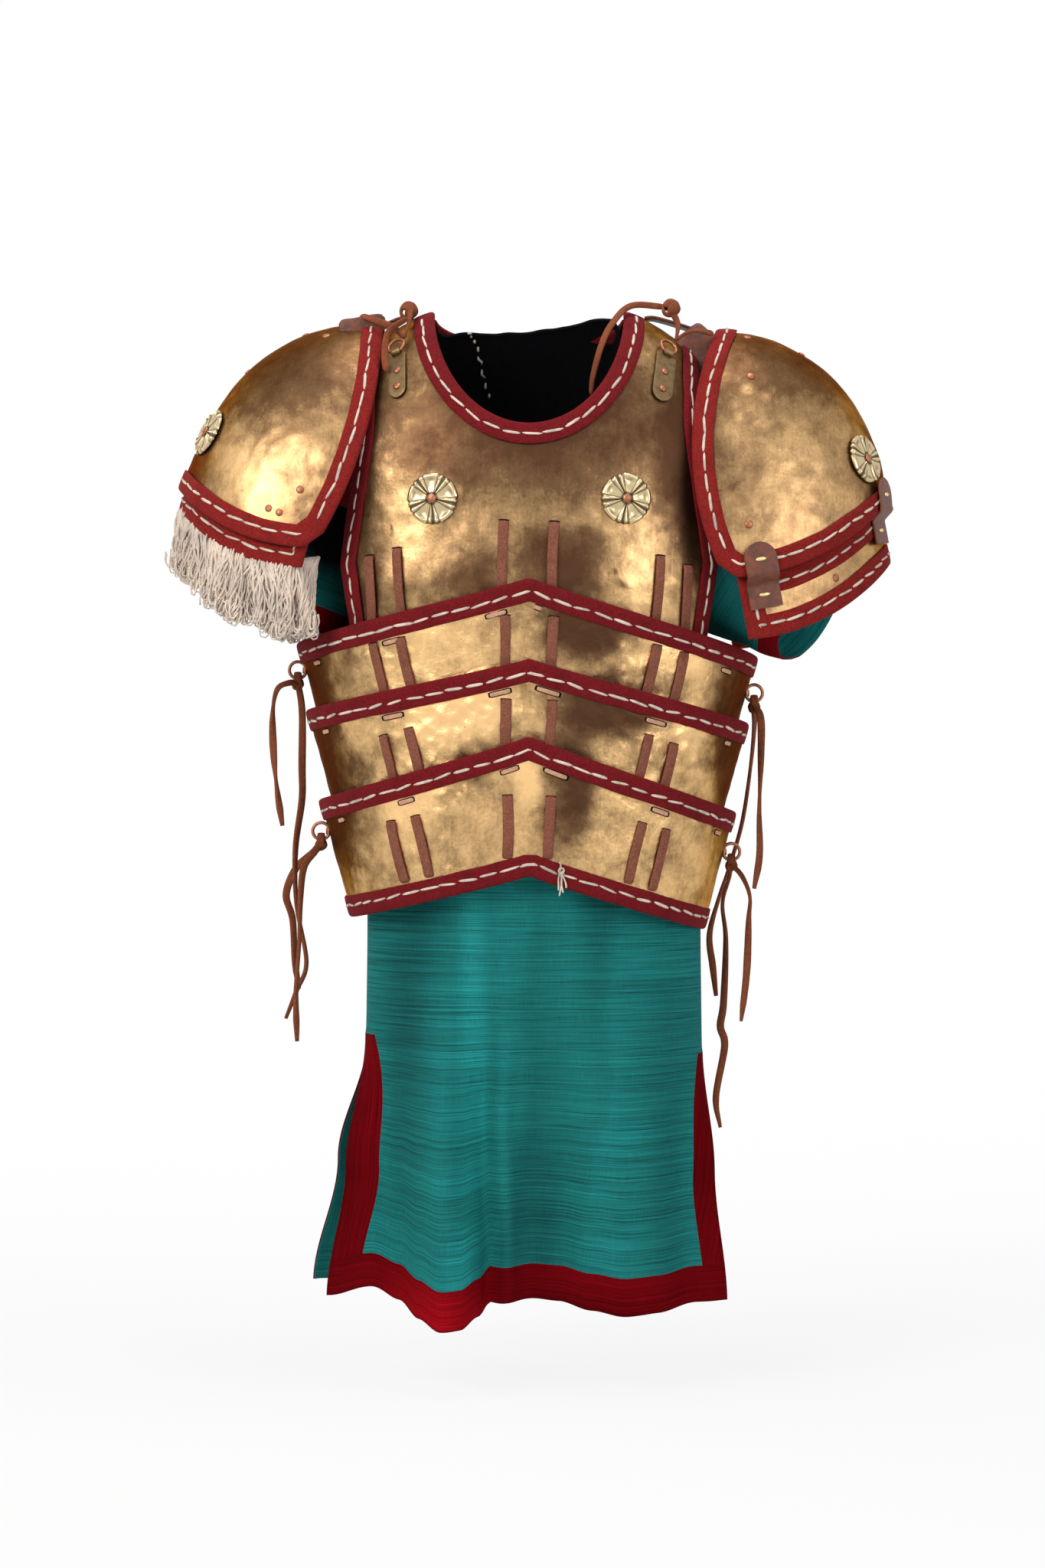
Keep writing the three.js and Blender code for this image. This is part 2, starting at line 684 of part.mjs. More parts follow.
// Binding on three or four sides of an arm plate, built from the band's own directions
function armBinding(band, top, bottom) {
  const last = band.last;
  const face = bindingFace;
  const walk = places(band);
  const stations = [];
  const inset = face / band.at(0, bottom, 0).distanceTo(band.at(1, bottom, 0));
  const corner = [[0, top, inset, top + face], [last, top, last - inset, top + face],
    [last, bottom, last - inset, bottom - face], [0, bottom, inset, bottom - face]];
  stations.push(corner[0]);
  walk.slice(1, -1).forEach((i) => stations.push([i, top, i, top + face]));
  stations.push(corner[1], corner[2]);
  walk.slice(1, -1).reverse().forEach((i) => stations.push([i, bottom, i, bottom - face]));
  stations.push(corner[3]);
  const rings = stations.map(([place, drop, innerPlace, innerDrop]) => {
    const rimDrop = drop + Math.sign(drop - innerDrop) * (bindingClearance + bindingLeather);
    const foldDrop = drop + Math.sign(drop - innerDrop) * bindingClearance;
    const beyond = place === innerPlace ? 0 : Math.sign(place - innerPlace);
    const along = band.at(Math.abs(place - 1), drop, 0).sub(band.at(place, drop, 0)).normalize();
    const at = (where, height, distance, push) => band.at(where, height, distance).addScaledVector(
      along, -push * Math.abs(beyond));
    return [
      at(innerPlace, innerDrop, bindingHalf, 0),
      at(place, rimDrop, bindingHalf, bindingClearance + bindingLeather),
      at(place, rimDrop, -bindingHalf, bindingClearance + bindingLeather),
      at(innerPlace, innerDrop, -bindingHalf, 0),
      at(innerPlace, innerDrop, -bindingInside, 0), at(place, foldDrop, -bindingInside, bindingClearance),
      at(place, foldDrop, bindingInside, bindingClearance), at(innerPlace, innerDrop, bindingInside, 0),
    ];
  });
  return loft(rings, channelCap, true);
}

// Breastplate and back plate
const firstLame = { front: lameOf(0, 'front'), back: lameOf(0, 'back') };
const torsoLacePoint = (share, z) => {
  const { front } = firstLame;
  return torsoPoint('front', share * front.halfAt(front.topZ(share)), z);
};
const rowSlotZ = (lame, rise) => (share) => lame.topZ(share) + rise;
const breastSlotZ = rowSlotZ(firstLame.front, laceRises[0]);

function addTorsoPlates() {
  for (const [face, name] of [['front', 'breastplate'], ['back', 'back_plate']]) {
    const grid = torsoGrid(face);
    const cutters = [neckCutter(face)];
    if (face === 'front') cutters.push(...slotCutters(torsoLevel, torsoLacePoint, breastSlotZ));
    addPart(name, cutBy(plateShell(torsoLevel, grid), cutters), bronze);
    const chest = torsoPoint(face, 0, shoulderStart);
    const neckBinding = bindingOver(torsoLevel, neckEdge(face), chest, curvedClearance);
    addPart(`${name}_neck_binding`, neckBinding, redSuede);
    for (const [side, sign] of sides) {
      const edge = grid.map((row) => row.at(sign < 0 ? 0 : -1)).slice(0, -1);
      const binding = bindingOver(torsoLevel, edge, chest, curvedClearance);
      addPart(`${name}_armhole_binding_${side}`, binding, redSuede);
    }
  }
}

// Front and back lames with their bindings, lugs, rings and laces
const frontLames = lamePeaks.map((_, index) => lameOf(index, 'front'));
const hemOf = (lame) => ({ topZ: (share) => lame.bottomZ(share) });

function addLames() {
  for (const face of ['front', 'back']) {
    lamePeaks.forEach((_, index) => {
      const lame = lameOf(index, face);
      const number = index + 1;
      const grid = lameGrid(lame);
      let geometry = plateShell(lame.level, grid);
      if (face === 'front') {
        const below = frontLames[index + 1] ?? hemOf(lame);
        const slotZ = rowSlotZ(below, laceRises[index + 1]);
        geometry = cutBy(geometry, slotCutters(lame.level, lame.point, slotZ));
        const row = { 0: 'upper', 2: 'lower' }[index];
        if (row) {
          const lugs = sides.flatMap(([side, sign]) => lugOn(lame, sign, sideRingZ[row][side]));
          geometry = joined([geometry, ...lugs]);
        }
      }
      addPart(`${face}_lame_${number}`, geometry, bronze);
      const middle = lame.point(0, lamePeaks[index] - lameHeight / 2);
      addPart(`${face}_lame_${number}_binding`, bindingOver(lame.level, grid.at(-1), middle), redSuede);
      if (index === lamePeaks.length - 1) {
        addPart(`${face}_hem_binding`, bindingOver(lame.level, grid[0], middle), redSuede);
      }
    });
  }
}

function addLaces() {
  const tuck = (lame) => (share) => lame.topZ(share) - laceFootTuck;
  const chestRow = laceRow(torsoLevel, torsoLacePoint, breastSlotZ, tuck(frontLames[0]), chestLaceLift);
  addPart('suspension_lace_1', chestRow, brownLeather);
  frontLames.forEach((lame, index) => {
    const below = frontLames[index + 1];
    const slotZ = rowSlotZ(below ?? hemOf(lame), laceRises[index + 1]);
    const aboveHem = (share) => lame.bottomZ(share) + bindingFace + hemFootGap;
    const footZ = below ? tuck(below) : aboveHem;
    addPart(`suspension_lace_${index + 2}`, laceRow(lame.level, lame.point, slotZ, footZ), brownLeather);
  });
}

// A ring that stands in the XZ plane, hung at a lug
function ringAt(centre) {
  const ring = new THREE.TorusGeometry(ringRadius, ringWireRadius, ringSides, ringSteps);
  ring.rotateX(Math.PI / 2);
  ring.translate(centre.x, centre.y, centre.z);
  return ring;
}

const ringCentre = (lame, sign, z) => lugPlace(lame, sign, z).add(
  new THREE.Vector3(sign * ringRadius, 0, 0));

// Routes of the tails of each tie, from the loop in the ring down to the end
const tieRoutes = {
  upper_right: {
    front: [[-219, -14, -324], [-229, -20, -330], [-233, -22, -352], [-232, -23, -390], [-229, -24, -420],
      [-224, -24, -454]],
    back: [[-208, 6, -350], [-208, 5, -400], [-208, 4, -430], [-214, 4, -476], [-213, 4, -526],
      [-204, 5, -579], [-213, 6, -605], [-223, 6, -631]],
  },
  lower_right: {
    front: [[-196, -12, -478], [-205, -17, -492], [-208, -18, -520], [-209, -20, -560], [-212, -20, -605],
      [-211, -20, -650]],
    back: [[-200, 14, -480], [-215, 24, -494], [-224, 26, -518], [-218, 26, -541], [-216, 26, -579],
      [-212, 26, -605]],
  },
  upper_left: {
    front: [[211, -14, -356], [211, -18, -390], [209, -24, -441], [209, -28, -480], [204, -29, -511]],
    back: [[207, 12, -362], [204, 20, -400], [197, 28, -450], [186, 32, -490], [176, 33, -520],
      [167, 34, -555], [170, 34, -585], [173, 34, -612]],
  },
  lower_left: {
    front: [[194, -13, -500], [201, -15, -518], [200, -16, -539], [198, -16, -588], [193, -16, -632]],
    back: [[184, 12, -502], [178, 18, -526], [181, 18, -559], [179, 18, -617], [176, 18, -639],
      [180, 18, -657], [172, 18, -704], [176, 18, -732]],
  },
};

// A tie is looped round the wire at the bottom of its ring, with both tails hanging from the loop
function tieAt(wire, route) {
  const loop = new THREE.TorusGeometry(tieLoopRadius, tieRadius, loopSides, ringSteps);
  loop.rotateY(Math.PI / 2);
  loop.translate(wire.x, wire.y, wire.z);
  const tails = Object.entries(route).map(([place, points]) => {
    const lean = place === 'front' ? -1 : 1;
    const start = [wire.x, wire.y + lean * tieLoopRadius / 2, wire.z - tieLoopRadius * 0.8];
    return tubeAlong([start, ...points], tieRadius, tieSteps);
  });
  return joined([loop, ...tails]);
}

function addSideRings() {
  for (const [row, index] of [['upper', 0], ['lower', 2]]) {
    for (const [side, sign] of sides) {
      const centre = ringCentre(frontLames[index], sign, sideRingZ[row][side]);
      addPart(`side_ring_${row}_${side}`, ringAt(centre), copper);
      const wire = new THREE.Vector3(centre.x, centre.y, centre.z - ringRadius);
      addPart(`side_tie_${row}_${side}`, tieAt(wire, tieRoutes[`${row}_${side}`]), brownLeather);
    }
  }
}

// Shoulder tabs with their rings
function shoulderTabPath(side, sign) {
  const x = sign * (armholeUpperHalf - shoulderTabInset[side]);
  const lean = shoulderTabLean[side];
  const at = (drop) => torsoPoint('front', x + lean * drop, shoulderTabTopZ - drop);
  const steps = 5;
  return { path: evenly(steps, 0, shoulderTabLength[side]).map(at), turn: at(shoulderTabTurn) };
}

const tabLow = plateHalf + layClearance;
function addShoulderTabs() {
  for (const [side, sign] of sides) {
    const { path, turn } = shoulderTabPath(side, sign);
    const strap = stripOn(torsoLevel, path, shoulderTabWidth[side], tabLow, tabLow + shoulderTabThickness);
    const top = path[0];
    const normal = normalOn(torsoLevel, top);
    const up = top.clone().sub(turn).normalize();
    const outer = lugBore + lugWall;
    const eye = top.clone().addScaledVector(normal, tabLow + outer).addScaledVector(up, lugBore);
    const across = new THREE.Vector3().crossVectors(normal, up).normalize();
    const profile = [
      [lugBore, -lugHeight / 2], [outer, -lugHeight / 2], [outer, lugHeight / 2], [lugBore, lugHeight / 2],
      [lugBore, -lugHeight / 2],
    ].map(([radius, height]) => new THREE.Vector2(radius, height));
    const tube = new THREE.LatheGeometry(profile, ringSteps);
    tube.applyQuaternion(new THREE.Quaternion().setFromUnitVectors(new THREE.Vector3(0, 1, 0), across));
    tube.translate(eye.x, eye.y, eye.z);
    addPart(`shoulder_tab_${side}`, joined([strap, tube]), brass);
    const ring = new THREE.TorusGeometry(ringRadius, ringWireRadius, ringSides, ringSteps);
    const basis = new THREE.Matrix4().makeBasis(across, up, new THREE.Vector3().crossVectors(across, up));
    ring.applyMatrix4(basis);
    const centre = eye.clone().addScaledVector(up, ringRadius);
    ring.translate(centre.x, centre.y, centre.z);
    addPart(`shoulder_ring_${side}`, ring, copper);
  }
}

// Pauldrons, arm plates and what they carry
function addPauldrons() {
  for (const [side, sign] of sides) {
    const dome = domeOf(side, sign);
    const crest = dome.point((dome.spec.crownAngle + dome.spec.lowerAngle) / 2, 0);
    addPart(`pauldron_${side}`, plateShell(dome.level, domeGrid(dome)), bronze);
    const edging = bindingOver(dome.level, domeEdge(dome), crest, curvedClearance, true);
    addPart(`pauldron_${side}_binding`, edging, redSuede);
    const band = armBand(dome);
    const { plateTop, plateBottom: lower } = dome.spec;
    const low = armGrid(band, plateTop, lower, -plateHalf);
    const high = armGrid(band, plateTop, lower, plateHalf);
    addPart(`arm_plate_${side}`, gridShell(low, high), bronze);
    addPart(`arm_plate_${side}_binding`, armBinding(band, plateTop, lower), redSuede);
    if (side === 'right') {
      const from = lower + bindingClearance + bindingLeather + layClearance;
      const fringeRows = [from, from + fringeLength];
      const fringe = (outward) => fringeRows.map((drop) => places(band).map((place) => band.at(
        place, drop, outward)));
      const wool = gridShell(fringe(-fringeThickness / 2), fringe(fringeThickness / 2));
      addPart('wool_fringe', wool, creamWool);
    } else {
      addArmTabs(band, dome);
    }
  }
}

function addArmTabs(band, dome) {
  const span = Math.PI - 2 * THREE.MathUtils.degToRad(dome.spec.armMargin);
  for (const [name, degrees] of Object.entries(armTabAngles)) {
    const share = (THREE.MathUtils.degToRad(degrees) + span / 2) / span;
    const place = share * pauldronSteps;
    const stepLength = band.at(Math.floor(place), 0, 0).distanceTo(band.at(Math.floor(place) + 1, 0, 0));
    const half = armTabWidth / 2 / stepLength;
    const over = curvedBindingHalf + 3 * layClearance + armTabThickness / 2;
    const outside = dome.spec.inset + over;
    const near = bindingHalf + layClearance + armTabThickness / 2;
    const lap = bindingFace / 2;
    const rows = [
      [-armTabAbove, outside], [0, outside], [bindingClearance + bindingLeather, outside],
      [bindingClearance + bindingLeather + lap, near], [armTabBelow, near],
    ];
    const across = evenly(4, place - half, place + half);
    const layer = (shift) => rows.map(([drop, outward]) => across.map((where) => {
      const p = band.at(where, drop, outward + shift);
      if (drop >= 0) return p;
      const seat = seatOn(dome.level, p);
      return offsetFrom(dome.level, seat, over + shift);
    }));
    const tab = gridShell(layer(-armTabThickness / 2), layer(armTabThickness / 2));
    addPart(`arm_tab_${name}_left`, tab, brownLeather);
  }
}

// Leather straps over the shoulders, from the ridge of the torso plates to under the pauldrons
function addShoulderStraps() {
  for (const [side, sign] of sides) {
    const dome = domeOf(side, sign);
    const crown = dome.point(dome.crownAngle(0), 0);
    const sink = curvedBindingHalf + strapThickness / 2 + strapSink[side];
    const underAt = (reach) => seatOn(dome.level, crown.clone().add(new THREE.Vector3(sign * reach, 0, 0)))
      .addScaledVector(upright, -sink);
    const lift = plateHalf + strapThickness / 2 + 2 * layClearance;
    const ridge = (x) => new THREE.Vector3(sign * x, 0, shoulderStart + shoulderRise * roundness(x) + lift);
    const start = neckHalfWidth + bindingFace + 2 * curvedClearance;
    const path = [
      ridge(start), ridge(start + strapWidth / 2), underAt(-bindingLeather), underAt(bindingFace),
    ];
    const rings = path.map((p, i) => {
      const ahead = path[Math.min(i + 1, path.length - 1)].clone().sub(path[Math.max(i - 1, 0)]).normalize();
      const across = new THREE.Vector3(0, 1, 0);
      const up = new THREE.Vector3().crossVectors(ahead, across).normalize();
      return [[-1, -1], [1, -1], [1, 1], [-1, 1]].map(([s, u]) => p.clone()
        .addScaledVector(across, s * strapWidth / 2).addScaledVector(up, u * strapThickness / 2));
    });
    addPart(`shoulder_strap_${side}`, loft(rings, quadCap), brownLeather);
  }
}

// Rosettes with a scalloped rim
function rosetteAt(level, point, lift = layClearance) {
  const seat = seatOn(level, point);
  const normal = normalOn(level, seat);
  const profile = rosetteProfileShares.map(([r, h]) => new THREE.Vector2(
    r * rosetteRadius, h * rosetteHeight));
  const stepsPerPetal = 4;
  const disc = new THREE.LatheGeometry(profile, stepsPerPetal * rosettePetals);
  const position = disc.attributes.position;
  for (let i = 0; i < position.count; i += 1) {
    const [x, z] = [position.getX(i), position.getZ(i)];
    const angle = Math.atan2(x, z);
    const step = Math.round(angle * stepsPerPetal * rosettePetals / (2 * Math.PI));
    const lobe = Math.abs(step % stepsPerPetal) === stepsPerPetal / 2 ? rosetteScallop : 1;
    position.setX(i, x * lobe);
    position.setZ(i, z * lobe);
  }
  disc.applyQuaternion(new THREE.Quaternion().setFromUnitVectors(new THREE.Vector3(0, 1, 0), normal));
  const base = seat.addScaledVector(normal, plateHalf + lift);
  disc.translate(base.x, base.y, base.z);
  return disc;
}

const pauldronRosetteAngles = { right: [43, -20], left: [50, -27] };
function addRosettes() {
  for (const [side, sign] of sides) {
    const chest = torsoPoint('front', sign * breastRosette[0], breastRosette[1]);
    addPart(`breast_rosette_${side}`, rosetteAt(torsoLevel, chest), brass);
    const dome = domeOf(side, sign);
    const [angle, swing] = pauldronRosetteAngles[side];
    const place = dome.point(angle, THREE.MathUtils.degToRad(swing));
    addPart(`pauldron_rosette_${side}`, rosetteAt(dome.level, place, domeSeatLift[side]), brass);
  }
}

// Felt lining inside the back plate, up to its neck edge
function addLining() {
  const kept = (j) => j >= 2 && j <= plateColumns - 2 && j % 2 === 0;
  const grid = torsoGrid('back').slice(0, -2).map((row) => row.filter((_, j) => kept(j)));
  const inside = -plateHalf - liningInset;
  addPart('felt_lining', plateShell(torsoLevel, grid, inside - liningThickness, inside), blackFelt);
}

// Tunic body: a folded tube with open slits at both sides
function addTunic() {
  const columns = tunicColumns;
  const bodyRows = [tunicTopZ, tunicWaistZ, ...evenly(2, tunicWaistZ, slitTopZ).slice(1),
    ...evenly(3, slitTopZ, tunicHemZ).slice(1)];
  const lastRow = bodyRows.length - 1;
  const layer = (grow) => bodyRows.map((z, i) => Array.from({ length: columns }, (_, j) => {
    const angle = 2 * Math.PI * j / columns;
    const down = THREE.MathUtils.clamp((tunicWaistZ - z) / (tunicWaistZ - tunicHemZ), 0, 1);
    const half = THREE.MathUtils.lerp(tunicHalfWidth, hemHalfWidth, down);
    const front = Math.sin(angle) < 0;
    const depth = THREE.MathUtils.lerp(
      front ? tunicFrontDepth : tunicBackDepth, front ? hemFrontDepth : hemBackDepth, down);
    const fold = 1 + foldDepth * down * Math.cos(foldCount * 2 * angle) / depth;
    const wave = i === lastRow ? -hemWave * Math.sin(angle * foldCount) ** 2 : 0;
    return new THREE.Vector3(
      (half + grow) * Math.cos(angle), (depth + grow) * fold * Math.sin(angle), z + wave);
  }));
  const slitRow = bodyRows.findIndex((z) => z < slitTopZ + clothThickness);
  const isSlit = (i, j) => i >= slitRow && (j === 0 || j === columns / 2);
  const shell = gridShell(layer(-clothThickness / 2), layer(clothThickness / 2), true, isSlit);
  addPart('tunic', shell, tealSilk);
}

function addSleeves() {
  for (const [side, sign] of sides) {
    const spec = sleeves[side];
    const start = new THREE.Vector3(...spec.start);
    const end = new THREE.Vector3(...spec.end);
    const along = end.clone().sub(start).normalize();
    const deep = new THREE.Vector3(0, 1, 0);
    const across = new THREE.Vector3().crossVectors(along, deep).normalize();
    const layer = (grow) => evenly(3, 0, 1).map((t) => Array.from({ length: sleeveColumns }, (_, j) => {
      const angle = 2 * Math.PI * j / sleeveColumns;
      return start.clone().lerp(end, t)
        .addScaledVector(across, (spec.across + grow) * Math.cos(angle))
        .addScaledVector(deep, (spec.deep + grow) * Math.sin(angle));
    }));
    const tube = gridShell(layer(-clothThickness / 2), layer(clothThickness / 2), true);
    const clear = tunicHalfWidth + clothThickness / 2 + layClearance;
    const body = new THREE.CylinderGeometry(clear, clear, cutOverrun * 12, tunicColumns);
    body.rotateX(Math.PI / 2);
    body.scale(1, (tunicFrontDepth + clothThickness) / tunicHalfWidth, 1);
    body.translate(0, 0, tunicTopZ - cutOverrun * 5);
    addPart(`sleeve_${side}`, cutBy(tube, [body]), tealSilk);
  }
}

addTorsoPlates();
addLames();
addLaces();
addSideRings();
addShoulderTabs();
addShoulderStraps();
addPauldrons();
addRosettes();
addLining();
addTunic();
addSleeves();

export default armour;
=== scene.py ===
import math
import random
from bisect import bisect_left
from collections import namedtuple

import bmesh
import bpy
from mathutils import Matrix, Vector, noise


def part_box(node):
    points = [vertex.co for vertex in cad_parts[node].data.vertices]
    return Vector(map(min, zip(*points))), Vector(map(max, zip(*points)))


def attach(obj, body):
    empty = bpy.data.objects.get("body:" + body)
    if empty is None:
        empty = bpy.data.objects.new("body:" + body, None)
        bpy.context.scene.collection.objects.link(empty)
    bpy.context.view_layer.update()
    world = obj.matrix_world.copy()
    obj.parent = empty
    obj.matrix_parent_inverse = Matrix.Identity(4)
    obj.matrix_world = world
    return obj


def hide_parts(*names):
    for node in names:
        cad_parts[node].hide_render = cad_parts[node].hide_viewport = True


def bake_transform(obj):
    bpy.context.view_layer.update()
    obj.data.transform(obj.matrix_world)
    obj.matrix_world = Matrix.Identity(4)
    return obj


bl_info = {
    "name": "Banded bronze cuirass",
    "version": (1, 0, 0),
    "blender": (4, 5, 0),
    "location": "View3D > Sidebar > Cuirass",
    "description": "Dresses the packed cuirass with hammered plates, leather, thongs, cloth and wool",
    "category": "Object",
}

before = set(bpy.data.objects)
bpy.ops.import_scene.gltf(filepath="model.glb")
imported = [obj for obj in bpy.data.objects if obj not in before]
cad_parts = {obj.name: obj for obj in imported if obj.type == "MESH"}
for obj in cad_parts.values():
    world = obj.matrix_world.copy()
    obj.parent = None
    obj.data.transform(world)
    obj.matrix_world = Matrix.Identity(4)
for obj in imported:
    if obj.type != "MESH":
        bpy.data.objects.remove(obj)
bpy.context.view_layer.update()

MM = 0.001
X, Y, Z = Vector((1, 0, 0)), Vector((0, 1, 0)), Vector((0, 0, 1))
SIDES = {"right": -1, "left": 1}
FACING = {"front": -1, "back": 1}

# Torso plates
TORSO_HALF_WIDTH = 198 * MM
TORSO_DEPTH = {"front": 130 * MM, "back": 115 * MM}
TORSO_POWER = 2.6
SHOULDER_START = -150 * MM
SHOULDER_RISE = 175 * MM
SHOULDER_ROW_SHARE = 0.85
ARMHOLE_SHARE = 0.9
WAIST_START = -238 * MM
SIDE_TAPER = 0.27
DEPTH_TAPER = 0.11
PLATE_BOTTOM = -325 * MM
RIDGE_GAP = 5 * MM
NECK_HALF_WIDTH = 88 * MM
NECK_TOP = 12 * MM
NECK_DROP = {"front": 113 * MM, "back": 20 * MM}
NECK_TRIM = {"front": 0.03, "back": 0.12}
ARMHOLE_CORNERS = [(-325 * MM, 150 * MM), (-220 * MM, 166 * MM), (-100 * MM, 150 * MM)]

# Lames, from the upper one down
LAME_PEAKS = [-238 * MM, -309 * MM, -377 * MM]
LAME_FALLS = [58 * MM, 48 * MM, 61 * MM]
LAME_SIDE_Z = [-296 * MM, -356 * MM, -438 * MM]
LAME_SIDE_HALF = [208 * MM, 200 * MM, 188 * MM]
LAME_HEIGHT = 112 * MM
HEM_PEAK = -494 * MM
HEM_FALL = 46 * MM
FALL_POWER = 0.9
HANG_TILT = 0.03
LAME_STEP = {"front": 8.4 * MM, "back": 4.3 * MM}
LAME_SPAN = math.radians(86)

# Laces
LACE_TOP_SHARES = [-0.66, -0.54, -0.1, 0.1, 0.54, 0.66]
LACE_FOOT_SHARES = [-0.64, -0.51, -0.11, 0.09, 0.51, 0.64]
LACE_RISES = [62 * MM, 48 * MM, 44 * MM, 75 * MM]
LACE_TUCK = 12 * MM
BACK_LACE_CLEAR = 10 * MM

# Pauldrons and arm plates: hub and cubic radii from the lower edge to the crown in mm, and edge angles in degrees
PAULDRONS = {
    "right": dict(hub=(-190, 0, -205), radii=(140, 144, 202, 214), half_depth=124, crown=-14.8, crown_spread=17,
                  lower=65, lower_spread=26, top=-40, bottom=18, inset=5, lean=0.15, drop_slope=0.25, margin=3),
    "left": dict(hub=(173, 0, -232), radii=(170, 195, 232, 228), half_depth=124, crown=0, crown_spread=28,
                 lower=64, lower_spread=26, top=3.4, bottom=55, inset=8.8, lean=0, drop_slope=0.19, margin=5),
}
POLE_MARGIN = math.radians(3.6)
DOME_PROFILE_START, DOME_PROFILE_END = -0.4, 1.3

# Half a plate's thickness, and how far a binding reaches in from its edge
PLATE_HALF = 0.6 * MM
BINDING_REACH = 17 * MM

# Columns and rows of the plates, and spans of the fine lines that their edges are taken from
TORSO_GRID, LAME_GRID, DOME_GRID, ARM_GRID = (108, 104), (150, 26), (100, 64), (90, 20)
LAME_SPANS, NECK_SPANS, ARMHOLE_SPANS, DOME_SPANS, ARM_SPANS = 300, 240, (90, 120), (240, 12), (64, 10)


# Settings that a user would change

def length(name, description, default):
    return bpy.props.FloatProperty(name=name, description=description, default=default, min=0.0,
                                   unit="LENGTH", precision=5)


def colour(name, description, default):
    return bpy.props.FloatVectorProperty(name=name, description=description, default=default, size=3,
                                         subtype="COLOR", min=0.0, max=1.0)


class CuirassPlates(bpy.types.PropertyGroup):
    thickness: length("Plate thickness", "Thickness of the hammered sheet", 0.0012)
    dent: length("Dent depth", "Depth of the broad dents left by planishing", 0.0009)
    dimple: length("Dimple depth", "Depth of the small hammer marks", 0.00035)


class CuirassLeather(bpy.types.PropertyGroup):
    binding_step: length("Binding step", "Distance between sections of an edge binding", 0.005)
    binding_wander: length("Binding wander", "How far a hand cut binding edge strays", 0.0007)
    lace_width: length("Lace width", "Width of a suspension lace", 0.009)
    lace_thickness: length("Lace thickness", "Thickness of a suspension lace", 0.0028)
    tie_width: length("Tie width", "Width of a side tie", 0.007)
    tie_thickness: length("Tie thickness", "Thickness of a side tie", 0.0034)


class CuirassThread(bpy.types.PropertyGroup):
    stitch: length("Stitch", "Visible length of a running stitch", 0.0175)
    gap: length("Stitch gap", "Gap between two running stitches", 0.0012)
    width: length("Thread width", "Width of the waxed thread", 0.0024)


class CuirassCloth(bpy.types.PropertyGroup):
    thickness: length("Cloth thickness", "Thickness of the lined silk", 0.0016)
    hem_band: length("Hem band", "Width of the contrasting hem band", 0.031)
    slit_band: length("Slit band", "Width of the contrasting band beside a slit", 0.021)
    cuff: length("Cuff", "Width of the contrasting sleeve cuff", 0.022)


class CuirassWool(bpy.types.PropertyGroup):
    strands: bpy.props.IntProperty(name="Strands", description="Number of wool strands", default=1600, min=50)
    radius: length("Strand radius", "Radius of a wool strand", 0.00095)


class CuirassColours(bpy.types.PropertyGroup):
    bronze: colour("Bronze", "Clean hammered bronze", (0.68, 0.435, 0.195))
    # Tarnish colour, which also tints the bronze's painted dark reflection and shade
    patina: colour("Patina", "Tarnish in the hollows of the bronze", (0.18, 0.068, 0.038))
    brass: colour("Brass", "Cast and rolled brass", (0.80, 0.60, 0.28))
    dull_brass: colour("Dull brass", "Rolled tabs at the neck", (0.21, 0.135, 0.065))
    rosette: colour("Rosette brass", "Pressed rosettes", (0.60, 0.47, 0.27))
    copper: colour("Copper", "Rings, rivets and staples", (0.40, 0.155, 0.085))
    suede: colour("Suede", "Red edge bindings", (0.165, 0.0062, 0.0092))
    # A lighter copy of the red suede: the shoulder bindings are painted lighter, as painted light falling on them from
    # above
    shoulder_suede: colour("Shoulder suede", "Brighter bindings of the shoulder plates", (0.235, 0.0135, 0.0112))
    lace: colour("Lace", "Brown ties and shoulder laces", (0.23, 0.066, 0.028))
    thong: colour("Thong", "Suspension laces", (0.245, 0.085, 0.052))
    tack: colour("Tack", "Short lace stitches below the bindings", (0.62, 0.34, 0.22))
    tab: colour("Tab leather", "Smooth leather tabs and straps", (0.125, 0.03, 0.012))
    silk: colour("Silk", "Tunic cloth", (0.011, 0.195, 0.188))
    band: colour("Band", "Contrasting bands of the tunic", (0.185, 0.0022, 0.0052))
    felt: colour("Felt", "Lining felt", (0.0032, 0.0034, 0.0045))
    wool: colour("Wool", "Fringe wool", (1.0, 0.84, 0.70))
    thread: colour("Thread", "Stitching thread", (0.80, 0.69, 0.56))


SETTINGS = {
    "cuirass_plates": CuirassPlates,
    "cuirass_leather": CuirassLeather,
    "cuirass_thread": CuirassThread,
    "cuirass_cloth": CuirassCloth,
    "cuirass_wool": CuirassWool,
    "cuirass_colours": CuirassColours,
}


# Shader maths

class Value:
    """A socket that takes part in arithmetic by adding Math nodes"""

    def __init__(self, nodes, socket):
        self.nodes = nodes
        self.socket = socket

    def maths(self, operation, a, b):
        return self.nodes.node("ShaderNodeMath", {"operation": operation}, {0: a, 1: b})

    def __add__(self, other):
        return self.maths("ADD", self, other)

    __radd__ = __add__

    def __sub__(self, other):
        return self.maths("SUBTRACT", self, other)

    def __rsub__(self, other):
        return self.maths("SUBTRACT", other, self)

    def __mul__(self, other):
        return self.maths("MULTIPLY", self, other)

    __rmul__ = __mul__

    def most(self, other):
        return self.maths("MAXIMUM", self, other)


